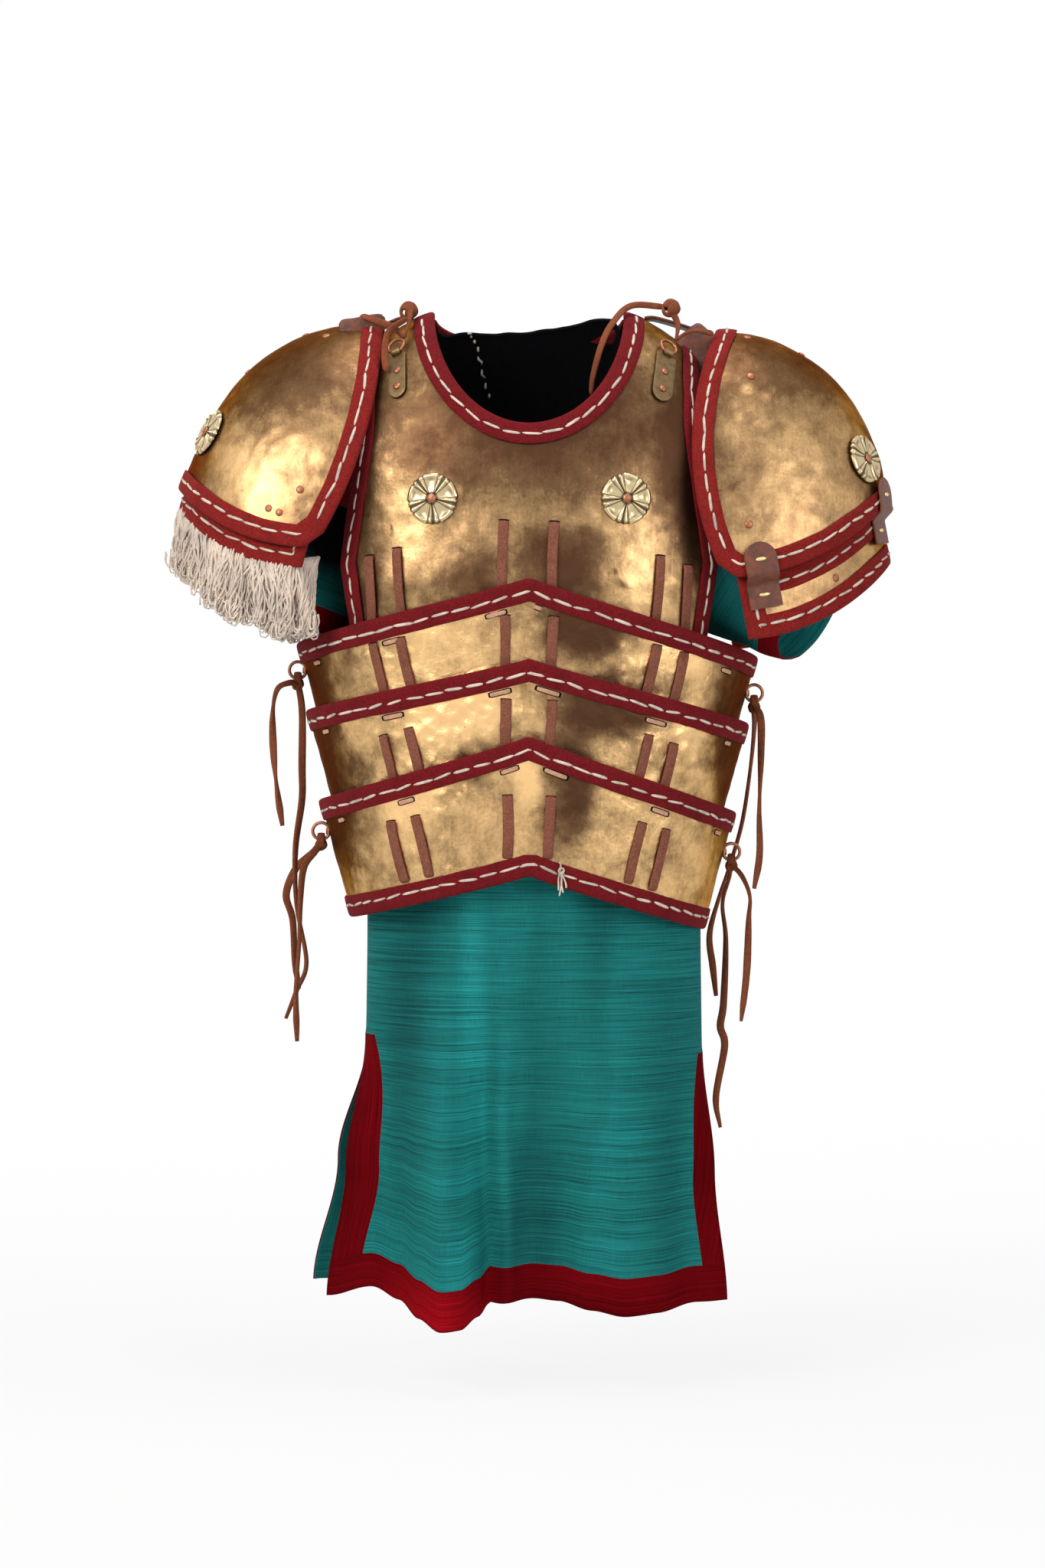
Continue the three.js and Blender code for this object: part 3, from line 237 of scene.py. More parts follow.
class Nodes:
    """Adds nodes to one tree and feeds their sockets"""

    def __init__(self, tree):
        self.tree = tree

    def node(self, kind, settings=None, values=None, output=0):
        made = self.tree.nodes.new(kind)
        for key, setting in (settings or {}).items():
            if key == "stops":
                self.set_stops(made.color_ramp, setting)
            else:
                setattr(made, key, setting)
        for key, value in (values or {}).items():
            self.feed(made.inputs[key], value)
        return Value(self, made.outputs[output])

    def set_stops(self, ramp, stops):
        while len(ramp.elements) < len(stops):
            ramp.elements.new(1.0)
        for element, (position, shade) in zip(ramp.elements, stops):
            element.position = position
            element.color = (*shade, 1.0) if hasattr(shade, "__len__") else (shade, shade, shade, 1.0)

    def feed(self, socket, value):
        if isinstance(value, Value):
            self.tree.links.new(value.socket, socket)
        elif socket.type == "RGBA" and len(value) == 3:
            socket.default_value = (*value, 1.0)
        else:
            socket.default_value = value


class Finish(Nodes):
    """One material and the nodes that make it"""

    def __init__(self, name, mapped=False):
        self.material = bpy.data.materials.new(name)
        self.material.use_nodes = True
        super().__init__(self.material.node_tree)
        self.surface = self.tree.nodes["Principled BSDF"]
        self.place = self.node("ShaderNodeTexCoord", output="UV" if mapped else "Object")

    def set(self, **sockets):
        """Feeds the surface's sockets, whose names come in lower case, and gives the material"""
        for key, value in sockets.items():
            self.feed(self.surface.inputs[key.replace("_", " ").title().replace("Ior", "IOR")], value)
        return self.material

    def stretched(self, *scale):
        return self.node("ShaderNodeMapping", {}, {"Vector": self.place, "Scale": scale})

    def clouds(self, scale, detail=3.0, roughness=0.5, distortion=0.0, place=None):
        return self.node("ShaderNodeTexNoise", {}, {
            "Vector": place or self.place, "Scale": scale, "Detail": detail, "Roughness": roughness,
            "Distortion": distortion})

    def cells(self, scale, smoothness):
        return self.node("ShaderNodeTexVoronoi", {"feature": "SMOOTH_F1"}, {
            "Vector": self.place, "Scale": scale, "Smoothness": smoothness})

    def zone(self, place, x, z, width, height, shift=0.0):
        """A soft oval seen along Y: 1 in its middle and 0 at its rim; its measures in mm, the shift in metres"""
        width, height = width * MM, height * MM
        local = self.node("ShaderNodeMapping", {}, {
            "Vector": place, "Scale": (1 / width, 0, 1 / height),
            "Location": (-(x * MM + shift) / width, 0, -(z * MM + shift) / height)})
        reach = self.node("ShaderNodeVectorMath", {"operation": "LENGTH"}, {0: local}, output="Value")
        return self.node("ShaderNodeMapRange", {"interpolation_type": "SMOOTHSTEP"}, {
            "Value": reach, "From Min": 0.0, "From Max": 1.0, "To Min": 1.0, "To Max": 0.0})

    def ramp(self, value, *stops):
        return self.node("ShaderNodeValToRGB", {"stops": stops}, {"Fac": value})

    def mix(self, a, b, factor, blend="MIX"):
        return self.node("ShaderNodeMix", {"data_type": "RGBA", "blend_type": blend}, {0: factor, 6: a, 7: b}, output=2)

    def bump(self, height, distance, strength=1.0, under=None):
        values = {"Height": height, "Distance": distance, "Strength": strength}
        if under is not None:
            values["Normal"] = under
        return self.node("ShaderNodeBump", {}, values)


def darker(shade, share):
    return tuple(channel * share for channel in shade)


# Brightness of the bronze from its darkest, tarnish and painted dark reflection, to its brightest, clean metal and
# above a share of 1 painted highlight, as (tone, share of the clean colour)
BRONZE_TONES = (0.0, 0.06), (0.3, 0.21), (0.54, 0.58), (0.76, 1.0), (1.0, 1.4)
PATINA_SHARE = 0.35
ZONE_DRIFT = 0.09
REDDISH_METAL = (0.72, 0.34, 0.2)
BRONZE_EDGE_TINT = (0.62, 0.36, 0.17)
BRIGHTEST_METAL = 0.97
# Small dark stains as (x, z, half width, half height) in mm
STAINS = [(80, -238, 9, 4), (74, -232, 5, 6), (-128, -196, 5, 9)]


def bronze(name, reflection_zones, hammer_zones, middle_tone, dimple_scale, dimple_depth, cloudy, redness, gloss=0.3):
    """Hammered bronze: dimples, and painted reflections, partly tarnish, that make stated ovals lighter or darker and
    are cloudy at their edges
    """
    colours = bpy.context.scene.cuirass_colours
    finish = Finish(name)
    drift = finish.node("ShaderNodeTexNoise", {}, {"Vector": finish.place, "Scale": 9.0, "Detail": 5.0}, output="Color")
    drifted = finish.node("ShaderNodeVectorMath", {"operation": "MULTIPLY_ADD"}, {
        0: drift, 1: (ZONE_DRIFT,) * 3, 2: finish.place})
    tone = middle_tone
    # Painted reflections: an oval above zero is a painted highlight, below zero painted dark reflection and shade,
    # partly tarnish
    for *oval, strength in reflection_zones:
        tone = finish.zone(drifted, *oval, ZONE_DRIFT / 2) * strength + tone
    middle = finish.clouds(30.0, 6.0, 0.66, 0.3)
    mottle = finish.clouds(95.0, 6.0, 0.72, 0.5)
    brushed = finish.clouds(1.0, 4.0, 0.6, place=finish.stretched(520.0, 90.0, 60.0))
    fine = finish.clouds(420.0, 4.0, 0.65)
    dimples = finish.cells(dimple_scale, 0.55)
    tone = tone + (middle - 0.5) * cloudy + (mottle - 0.5) * (0.5 * cloudy) + (fine - 0.5) * 0.26
    marks = finish.clouds(13.0, 3.0, 0.5)
    for oval in hammer_zones:
        marks = marks + finish.zone(finish.place, *oval) * 0.2
    patches = finish.ramp(marks, (0.47, 0.0), (0.58, 1.0))
    tone = tone + (brushed - 0.5) * 0.16 + (0.3 - dimples) * patches * 0.3
    stops = []
    for position, share in BRONZE_TONES:
        dark = max(0.0, 1 - share) * PATINA_SHARE
        stops.append((position, [
            min(BRIGHTEST_METAL, (clean * share * (1 - dark) + dark_channel * dark) * (1 - redness) + red * redness * share)
            for clean, dark_channel, red in zip(colours.bronze, colours.patina, REDDISH_METAL)]))
    base = finish.ramp(tone, *stops)
    specks = finish.ramp(fine * 0.5 + finish.clouds(110.0, 5.0, 0.7) * 0.5, (0.60, 0.0), (0.67, 1.0))
    base = finish.mix(base, darker(colours.patina, 0.4), specks * 0.7)
    for oval in STAINS:
        base = finish.mix(base, darker(colours.patina, 0.3), finish.zone(drifted, *oval, ZONE_DRIFT / 2) * 0.8)
    relief = finish.bump(dimples * (patches * 0.85 + 0.15) + middle * 0.5 + mottle * 0.25, dimple_depth)
    rough = finish.ramp(tone, (0.0, 0.5), (0.5, 0.36), (0.9, gloss))
    return finish.set(base_color=base, metallic=1.0, roughness=rough + fine * 0.1 - 0.05,
                      normal=finish.bump(fine, 0.00014, 0.5, relief), specular_tint=BRONZE_EDGE_TINT)


def metal(name, shade, roughness, scale):
    """Worked brass or copper with darkened hollows"""
    finish = Finish(name)
    grime = finish.clouds(scale, 5.0, 0.6)
    scratches = finish.clouds(900.0, 3.0, 0.7)
    base = finish.mix(tuple(shade), darker(shade, 0.4), finish.ramp(grime, (0.45, 0.0), (0.7, 1.0)) * 0.7)
    return finish.set(base_color=base, metallic=1.0, roughness=grime * 0.25 + roughness,
                      normal=finish.bump(scratches + grime, 0.0002, 0.6))


def pressed_brass(name, shade):
    """Brass of the rosettes, darker where their mesh marks it: in the grooves, round the rivet and, as painted shade,
    in each petal's dish
    """
    finish = Finish(name)
    hollow = finish.node("ShaderNodeAttribute", {"attribute_name": "hollow"}, output="Fac")
    grime = finish.clouds(260.0, 5.0, 0.65)
    darkening = finish.ramp(hollow + (grime - 0.5) * 0.5, (0.12, 0.0), (0.75, 1.0))
    return finish.set(base_color=finish.mix(tuple(shade), darker(shade, 0.16), darkening), metallic=1.0,
                      roughness=darkening * 0.3 + 0.26, normal=finish.bump(grime, 0.0002, 0.6))


def suede(name, shade, nap_scale, nap_depth, worn=0.5):
    """Leather with the flesh side out: a matt nap, mottled and rubbed"""
    finish = Finish(name)
    nap = finish.clouds(nap_scale, 6.0, 0.7)
    blotch = finish.clouds(60.0, 4.0, 0.6)
    pits = finish.clouds(nap_scale * 0.35, 3.0, 0.6)
    base = finish.mix(darker(shade, 0.55), darker(shade, 1.45), finish.ramp(nap, (0.3, 0.0), (0.7, 1.0)))
    base = finish.mix(base, darker(shade, 0.5), finish.ramp(blotch, (0.5, 0.0), (0.75, 1.0)) * worn)
    return finish.set(base_color=base, roughness=0.94, sheen_weight=0.12, sheen_roughness=0.5,
                      sheen_tint=darker(shade, 2.2), specular_ior_level=0.2,
                      normal=finish.bump(nap * 0.6 + pits, nap_depth))


def smooth_leather(name, shade):
    """Grain side leather, polished and creased"""
    finish = Finish(name)
    grain = finish.cells(900.0, 0.2)
    crease = finish.clouds(110.0, 6.0, 0.65, 0.6)
    base = finish.mix(darker(shade, 0.5), darker(shade, 1.6), finish.ramp(crease, (0.35, 0.0), (0.65, 1.0)))
    return finish.set(base_color=base, roughness=crease * 0.25 + 0.38,
                      normal=finish.bump(grain * 0.5 + crease, 0.0004))


def thread(name, shade):
    """Twisted waxed linen thread"""
    finish = Finish(name)
    ply = finish.clouds(1500.0, 3.0, 0.6)
    grime = finish.clouds(70.0, 3.0, 0.6)
    base = finish.mix(tuple(shade), darker(shade, 0.55), finish.ramp(grime, (0.4, 0.0), (0.7, 1.0)))
    return finish.set(base_color=base, roughness=0.85, normal=finish.bump(ply, 0.0004))


def slub_silk(name, shade, streak, shine, light_and_shade):
    """Handwoven silk with thick and thin weft across the piece, with painted light and shade of its folds; its map is
    in metres
    """
    finish = Finish(name, mapped=True)
    slub = finish.clouds(1.0, 4.0, 0.6, 0.25, place=finish.stretched(5.0, 620.0, 1.0))
    fine = finish.clouds(1.0, 3.0, 0.65, place=finish.stretched(18.0, 1900.0, 1.0))
    broad = finish.clouds(1.0, 3.0, 0.55, place=finish.stretched(1.3, 46.0, 1.0))
    warp = finish.clouds(1.0, 2.0, 0.5, place=finish.stretched(1500.0, 60.0, 1.0))
    tone = slub * 0.44 + fine * 0.36 + broad * 0.1 + warp * 0.1
    base = finish.ramp(tone, (0.395, darker(shade, 1 - 0.8 * streak)), (0.465, darker(shade, 1 - 0.3 * streak)),
                       (0.52, darker(shade, 1.0)), (0.62, darker(shade, 1 + 0.7 * streak)))
    # Painted fold shade: broad noise across the cloth darkens it to two thirds in bands
    folds = finish.clouds(1.0, 2.0, 0.5, place=finish.stretched(9.0, 0.6, 1.0))
    level = finish.ramp(folds, (0.38, 0.66), (0.5, 0.96), (0.62, 1.0))
    object_place = finish.node("ShaderNodeTexCoord", output="Object")
    # Painted light and shade in the listed ovals
    for *oval, strength in light_and_shade:
        level = finish.zone(object_place, *oval) * strength + level
    return finish.set(base_color=finish.mix(base, level, 1.0, "MULTIPLY"), roughness=0.82, specular_ior_level=shine,
                      normal=finish.bump(slub * 0.6 + fine * 0.6 + warp * 0.3, 0.0006))


def felt(name, shade):
    """Pressed dark felt"""
    finish = Finish(name)
    fibres = finish.clouds(700.0, 6.0, 0.75)
    base = finish.mix(darker(shade, 0.6), darker(shade, 2.4), finish.ramp(fibres, (0.4, 0.0), (0.75, 1.0)))
    return finish.set(base_color=base, roughness=1.0, specular_ior_level=0.1, normal=finish.bump(fibres, 0.0008))


def yarn(name, shade):
    """Loosely spun wool"""
    finish = Finish(name)
    ply = finish.clouds(1100.0, 4.0, 0.6)
    # Painted shade: noise patches darken the wool to about half, standing for the shade deep among the strands
    depth = finish.clouds(45.0, 3.0, 0.6)
    base = finish.mix(darker(shade, 0.55), tuple(shade), finish.ramp(depth * 0.5 + ply * 0.5, (0.38, 0.0), (0.6, 1.0)))
    return finish.set(base_color=base, roughness=0.95, sheen_weight=0.2, normal=finish.bump(ply, 0.0006))


# Painted reflections as (x, z, half width, half height, strength) in mm: above zero a painted highlight, below zero
# darker, as painted dark reflection and shade, partly tarnish
TORSO_REFLECTIONS = [
    (0, -100, 210, 92, -0.6), (-110, -182, 38, 76, 0.3), (-60, -215, 60, 62, 0.06), (100, -232, 54, 46, 0.26),
    (160, -120, 66, 130, -0.95), (-48, -240, 34, 48, -0.42), (26, -232, 54, 58, -0.66), (118, -176, 40, 50, 0.12),
    (-150, -70, 50, 60, -0.3), (-148, -240, 22, 80, -0.25)]
LAME_REFLECTIONS = [
    (50, -268, 62, 50, -1.1), (-110, -280, 78, 60, 0.2), (130, -300, 62, 62, 0.26), (-208, -330, 66, 90, -1.5),
    (72, -347, 78, 46, -1.05), (-60, -352, 70, 44, 0.75), (146, -370, 56, 50, 0.3), (36, -418, 36, 78, -0.9),
    (-48, -400, 30, 34, -0.4), (-6, -420, 22, 60, 0.42), (-112, -420, 46, 60, 0.34), (-196, -430, 84, 110, -1.5),
    (208, -380, 70, 180, -1.4)]
# Where the hammer's marks are thickest, as (x, z, half width, half height) in mm
LAME_HAMMERED = [(-40, -338, 66, 46), (-66, -412, 60, 52), (-150, -300, 50, 40), (120, -380, 60, 40)]
SHOULDER_REFLECTIONS = [
    (-215, -40, 160, 84, -0.46), (-262, -128, 56, 52, 0.24), (-196, -176, 60, 40, -0.12), (225, -40, 160, 76, -0.46),
    (226, -130, 56, 60, 0.08), (250, -262, 60, 30, -0.1), (-322, -110, 62, 110, -1.0), (338, -120, 56, 110, -0.8),
    (160, -120, 30, 90, -0.3)]

# Painted light and shade of the cloth's folds and bands, with a painted shadow at the top of the right sleeve under the
# pauldron, listed like the bronze's painted reflections
SILK_LIGHT_AND_SHADE = [
    (-50, -640, 19, 280, 0.5), (-60, -840, 20, 60, 0.4), (-112, -620, 36, 280, -0.42), (-86, -520, 30, 110, -0.3),
    (-176, -192, 64, 74, -1.3), (124, -720, 40, 240, -0.2), (10, -800, 30, 120, -0.2), (60, -700, 40, 240, 0.1)]
BAND_LIGHT_AND_SHADE = [
    (-80, -890, 70, 60, 0.9), (60, -890, 90, 50, -0.35), (150, -760, 60, 240, -0.3), (-180, -780, 60, 190, -0.42)]


def make_materials():
    colours = bpy.context.scene.cuirass_colours
    finishes = {
        # Their middle tones differ partly as painted reflection: the torso's is lowest, standing for the dark studio
        # that its metal reflects
        "torso_bronze": (bronze, TORSO_REFLECTIONS, (), 0.5, 62.0, 0.0009, 0.78, 0.06),
        "lame_bronze": (bronze, LAME_REFLECTIONS, LAME_HAMMERED, 0.68, 82.0, 0.0024, 0.9, 0.03),
        "shoulder_bronze": (bronze, SHOULDER_REFLECTIONS, (), 0.58, 70.0, 0.0008, 0.66, 0.08, 0.36),
        "bright_brass": (metal, colours.brass, 0.22, 120.0),
        "copper": (metal, colours.copper, 0.3, 160.0),
        "red_suede": (suede, colours.suede, 520.0, 0.0011),
        "shoulder_suede": (suede, colours.shoulder_suede, 520.0, 0.0011),
        "brown_suede": (suede, colours.lace, 700.0, 0.0005, 0.7),
        "thong_suede": (suede, colours.thong, 620.0, 0.0008, 0.6),
        "tack_leather": (suede, colours.tack, 700.0, 0.0005, 0.4),
        "dull_brass": (metal, colours.dull_brass, 0.34, 150.0),
        "rosette_brass": (pressed_brass, colours.rosette),
        "tab_leather": (smooth_leather, colours.tab),
        "thread": (thread, colours.thread),
        "teal_silk": (slub_silk, colours.silk, 0.8, 0.1, SILK_LIGHT_AND_SHADE),
        "red_silk": (slub_silk, colours.band, 0.6, 0.02, BAND_LIGHT_AND_SHADE),
        # Felt, also used for the dark strips of painted shadow at the slots and tacks
        "black_felt": (felt, colours.felt),
        "cream_wool": (yarn, colours.wool),
    }
    return {name: maker(name, *values) for name, (maker, *values) in finishes.items()}


MATERIALS = {}


# Small geometry helpers

def lerp(a, b, t):
    return a + (b - a) * t


def spread(count, start, end):
    return [start + (end - start) * i / count for i in range(count + 1)]


def smooth_step(t):
    t = min(1.0, max(0.0, t))
    return t * t * (3 - 2 * t)


def through(stops, at):
    """Value at a place among (place, value) stops, eased between them"""
    if at <= stops[0][0]:
        return stops[0][1]
    for (a, low), (b, high) in zip(stops, stops[1:]):
        if at <= b:
            return lerp(low, high, smooth_step((at - a) / (b - a)))
    return stops[-1][1]


def slope_of(level, p, probe=1e-5):
    return Vector([(level(p + axis * probe) - level(p - axis * probe)) / (2 * probe) for axis in (X, Y, Z)])


def normal_on(level, p):
    return slope_of(level, p).normalized()


def seat_on(level, p):
    for _ in range(4):
        slope = slope_of(level, p)
        p = p - slope * (level(p) / slope.length_squared)
    return p


def reaches(points):
    """Distance of each point of a line from its first, along the line"""
    result = [0.0]
    for a, b in zip(points, points[1:]):
        result.append(result[-1] + (b - a).length)
    return result


def span_at(reach, at):
    """Number of the span that holds a distance along a line, and the share of that span before it"""
    k = min(len(reach) - 2, bisect_left(reach, at, 1) - 1)
    span = reach[k + 1] - reach[k]
    return k, (at - reach[k]) / span if span else 0.0


def resample(points, step, closed=False):
    """Evenly spaced points along a polyline"""
    line = list(points) + ([points[0]] if closed else [])
    reach = reaches(line)
    count = max(2, round(reach[-1] / step))
    result = []
    for i in range(count + (0 if closed else 1)):
        k, share = span_at(reach, reach[-1] * i / count)
        result.append(line[k].lerp(line[k + 1], share))
    return result


def curved(points, per_span=8):
    """A smooth line through given points"""
    line = [Vector(p) for p in points]
    ends = [line[0] * 2 - line[1], *line, line[-1] * 2 - line[-2]]
    result = []
    for a, b, c, d in zip(ends, ends[1:], ends[2:], ends[3:]):
        for i in range(per_span):
            t = i / per_span
            result.append(0.5 * (b * 2 + (c - a) * t + (a * 2 - b * 5 + c * 4 - d) * t ** 2
                                 + (b * 3 - a - c * 3 + d) * t ** 3))
    return [*result, line[-1]]


def squircle(width, height, count, power):
    """Closed outline of a rounded strip"""
    outline = []
    for angle in spread(count, 0, 2 * math.pi)[:-1]:
        c, s = math.cos(angle), math.sin(angle)
        outline.append((math.copysign(abs(c) ** (2 / power), c) * width / 2,
                        math.copysign(abs(s) ** (2 / power), s) * height / 2))
    return outline


# Mesh making

def add_grid(bm, columns, rows, place):
    """A grid of faces with each point sent to place(across, up), both from 0 to 1"""
    made = bmesh.ops.create_grid(bm, x_segments=columns, y_segments=rows, size=0.5)["verts"]
    for vert in made:
        vert.co = place(vert.co.x + 0.5, vert.co.y + 0.5)


def add_cloth_grid(bm, columns, rows, place, map_place, is_band):
    """A grid with a map in metres; the second finish goes to the faces whose middle is_band picks"""
    layer = bm.loops.layers.uv.verify()
    add_grid(bm, columns, rows, lambda across, up: Vector((across, up, 0)))
    bands = set()
    for face in bm.faces:
        middle = face.calc_center_median()
        face.material_index = int(is_band(middle.x, middle.y))
        if face.material_index:
            bands.update(face.verts)
        for loop in face.loops:
            loop[layer].uv = map_place(loop.vert.co, middle)
    for vert in bm.verts:
        vert.co = place(vert.co.x, vert.co.y)
    return bands


def close_tubes(bm):
    """Joins the seams of tubes made as grids and fills their ends"""
    bmesh.ops.remove_doubles(bm, verts=bm.verts, dist=1e-6)
    bmesh.ops.holes_fill(bm, edges=[edge for edge in bm.edges if edge.is_boundary], sides=0)
    bmesh.ops.recalc_face_normals(bm, faces=bm.faces)


def add_section_sweep(bm, stations, section, closed=False):
    """A tube whose ring at each station is station(point of the section)"""
    columns = len(stations) - (0 if closed else 1)
    rows = len(section)

    def place(across, up):
        return stations[round(across * columns) % len(stations)](section[round(up * rows) % rows])

    add_grid(bm, columns, rows, place)


def heading(path, i):
    return (path[min(i + 1, len(path) - 1)] - path[max(i - 1, 0)]).normalized()


def along_path(path, normals):
    """Frames (point, side, up) along a path"""
    frames = []
    for i, point in enumerate(path):
        ahead = heading(path, i)
        up = (normals[i] - ahead * normals[i].dot(ahead)).normalized()
        frames.append((point, ahead.cross(up), up))
    return frames


def carried_normals(path, first, twist=None):
    """Normals carried along a path without spin, then turned by twist(share of the way)"""
    normals = []
    up = first.copy()
    for i in range(len(path)):
        ahead = heading(path, i)
        up = (up - ahead * up.dot(ahead)).normalized()
        turn = twist(i / (len(path) - 1)) if twist else 0.0
        normals.append(Matrix.Rotation(turn, 3, ahead) @ up)
    return normals


def add_strip(bm, path, normals, section, taper=None, lift=None, thins=True):
    """A strip or cord of a given section along a path; the taper narrows it, and thins it too unless told not to"""
    frames = along_path(path, normals)
    last = len(path) - 1

    def station(index):
        point, side, up = frames[index]
        width = taper(index / last) if taper else 1.0
        depth = width if thins else 1.0
        rise = lift(index / last) if lift else 0.0
        return lambda corner: point + side * (corner[0] * width) + up * (corner[1] * depth + rise)

    add_section_sweep(bm, [station(i) for i in range(len(path))], section)


def rounded_ends(share, floor=0.3):
    """Taper that rounds both ends of a strip over a share of its length"""
    def taper(t):
        edge = min(t, 1 - t) / share
        return 1.0 if edge >= 1 else floor + (1 - floor) * math.sqrt(1 - (1 - edge) ** 2)
    return taper


def half_round(near, floor):
    """Width share of a half round end, at a distance from its tip given in radii"""
    return 1.0 if near >= 1 else max(floor, math.sqrt(1 - (1 - near) ** 2))


def add_ring(bm, centre, axis, radius, section, count):
    """A closed ring of a given section about an axis"""
    start = axis.orthogonal().normalized()

    def station(angle):
        out = Matrix.Rotation(angle, 3, axis) @ start
        return lambda corner: centre + out * (radius + corner[0]) + axis * corner[1]

    add_section_sweep(bm, [station(a) for a in spread(count, 0, 2 * math.pi)[:-1]], section, closed=True)


def add_knot(bm, centre, axis, radius, width, thickness, turns=1.6):
    """A lump of overlapping flat turns"""
    out = axis.orthogonal().normalized()
    path = []
    for t in spread(int(26 * turns), 0, turns):
        angle = t * 2 * math.pi
        ring_point = Matrix.Rotation(angle, 3, axis) @ out * radius
        path.append(centre + ring_point + axis * (math.sin(angle * 1.5) * radius * 0.55))
    add_strip(bm, path, carried_normals(path, out), squircle(width, thickness, 10, 3.2), rounded_ends(0.08))


def add_rivet(bm, centre, normal, radius, height, segments=16):
    turn = Z.rotation_difference(normal).to_matrix().to_4x4()
    place = Matrix.Translation(centre) @ turn @ Matrix.Diagonal((radius, radius, height, 1))
    bmesh.ops.create_uvsphere(bm, u_segments=segments, v_segments=segments // 2, radius=1, matrix=place)


def add_object(bm, name):
    """Links a bmesh to the scene as a smooth object"""
    mesh = bpy.data.meshes.new(name)
    bm.to_mesh(mesh)
    bm.free()
    mesh.shade_smooth()
    made = bpy.data.objects.new(name, mesh)
    bpy.context.scene.collection.objects.link(made)
    return made


def finish_piece(bm, name, body, finish, replaced=None, solid=0.0, smooth_angle=40):
    """Turns a bmesh into a piece of the object that rides on a body, unless this is None"""
    piece = add_object(bm, name)
    if smooth_angle:
        piece.data.set_sharp_from_angle(angle=math.radians(smooth_angle))
    finishes = [finish] if isinstance(finish, str) else finish
    for key in finishes:
        piece.data.materials.append(MATERIALS[key])
    if solid:
        wall = piece.modifiers.new("Wall", "SOLIDIFY")
        wall.thickness = solid
        wall.offset = 0
        wall.use_quality_normals = True
    if body:
        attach(piece, body)
    if replaced:
        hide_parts(replaced)
    return piece


def finish_tubes(bm, name, body, finish, replaced=None, smooth_angle=0):
    """Closes the tubes of a bmesh and turns them into a piece"""
    close_tubes(bm)
    return finish_piece(bm, name, body, finish, replaced, smooth_angle=smooth_angle)


def make_strip(name, body, finish, path, normals, section, taper, replaced=None):
    """A piece that is one strip"""
    bm = bmesh.new()
    add_strip(bm, path, normals, section, taper)
    return finish_tubes(bm, name, body, finish, replaced)


def finish_cloth(bm, name, replaced, finishes, thickness, height, **hung):
    """Turns a bmesh into a piece of cloth or felt; the stated height is not used"""
    bmesh.ops.recalc_face_normals(bm, faces=bm.faces)
    area = sum(face.calc_area() for face in bm.faces)
    cloth = finish_piece(bm, name, "torso", finishes, replaced, thickness, 40 if isinstance(finishes, str) else 0)
    area / height
    return cloth


def dent(bm, centre, depth_of):
    """Moves each point along its outward normal"""
    bm.normal_update()
    moves = []
    for vert in bm.verts:
        outward = vert.normal if vert.normal.dot(vert.co - centre(vert.co)) > 0 else -vert.normal
        moves.append(outward * depth_of(vert.co))
    for vert, move in zip(bm.verts, moves):
        vert.co += move


def hammered(seed, dent_scale=30.0, dimple_scale=95.0):
    """Relief left by hammering: broad dents and small dimples"""
    plates = bpy.context.scene.cuirass_plates
    shift = Vector((seed * 3.7, seed * 1.3, seed * 2.1))

    def depth(p):
        return (noise.noise(p * dent_scale + shift) * plates.dent
                + noise.noise(p * dimple_scale + shift) * plates.dimple)
    return depth


def make_sheet(name, body, finish, replaced, grid, place, centre, relief):
    """A hammered plate: a grid of columns and rows whose points go to place(across, up)"""
    bm = bmesh.new()
    add_grid(bm, *grid, place)
    bmesh.ops.remove_doubles(bm, verts=bm.verts, dist=1e-5)
    dent(bm, centre, relief)
    bmesh.ops.recalc_face_normals(bm, faces=bm.faces)
    finish_piece(bm, name, body, finish, replaced, bpy.context.scene.cuirass_plates.thickness)


def make_rivets(name, body, rivets, height=1.2 * MM):
    """Copper rivets, each as (centre, normal, radius)"""
    bm = bmesh.new()
    for centre, normal, radius in rivets:
        add_rivet(bm, centre, normal, radius, height)
    finish_piece(bm, name, body, "copper", smooth_angle=0)


# Torso surface

def below_waist(z):
    return min(0.0, z - WAIST_START)


def torso_half(z):
    return TORSO_HALF_WIDTH + SIDE_TAPER * below_waist(z)


def torso_depth(face, z):
    return TORSO_DEPTH[face] + DEPTH_TAPER * below_waist(z)


def torso_level(p):
    face = "front" if p.y < 0 else "back"
    rise = max(0.0, p.z - SHOULDER_START) / SHOULDER_RISE
    return abs(p.x / torso_half(p.z)) ** TORSO_POWER + (p.y / torso_depth(face, p.z)) ** 2 + rise ** 2 - 1


def roundness(x):
    return math.sqrt(max(0.0, 1 - abs(x / TORSO_HALF_WIDTH) ** TORSO_POWER))


def torso_point(face, x, z):
    rise = max(0.0, z - SHOULDER_START) / SHOULDER_RISE
    left = 1 - abs(x / torso_half(z)) ** TORSO_POWER - rise ** 2
    return Vector((x, FACING[face] * torso_depth(face, z) * math.sqrt(max(0.0, left)), z))


def armhole_half(z):
    (z0, low), (z1, wide), (z2, high) = ARMHOLE_CORNERS
    if z >= z1:
        return lerp(wide, high, min(1.0, (z - z1) / (z2 - z1)))
    return lerp(low, wide, (z - z0) / (z1 - z0))


ARMHOLE_TOP_HALF = ARMHOLE_CORNERS[-1][1]


def torso_shares(columns):
    """Columns of a torso plate as shares of its half width: even along the neck edge, then out to the armhole"""
    side = columns // 6
    inner = columns - 2 * side
    neck = NECK_HALF_WIDTH / ARMHOLE_TOP_HALF
    middle = [neck * lerp(2 * t - 1, -math.cos(t * math.pi), 0.4) for t in spread(inner, 0, 1)]
    return [*spread(side, -1, -neck)[:-1], *middle, *spread(side, neck, 1)[1:]]


def ridge_angle(face):
    return math.acos(RIDGE_GAP / TORSO_DEPTH[face])


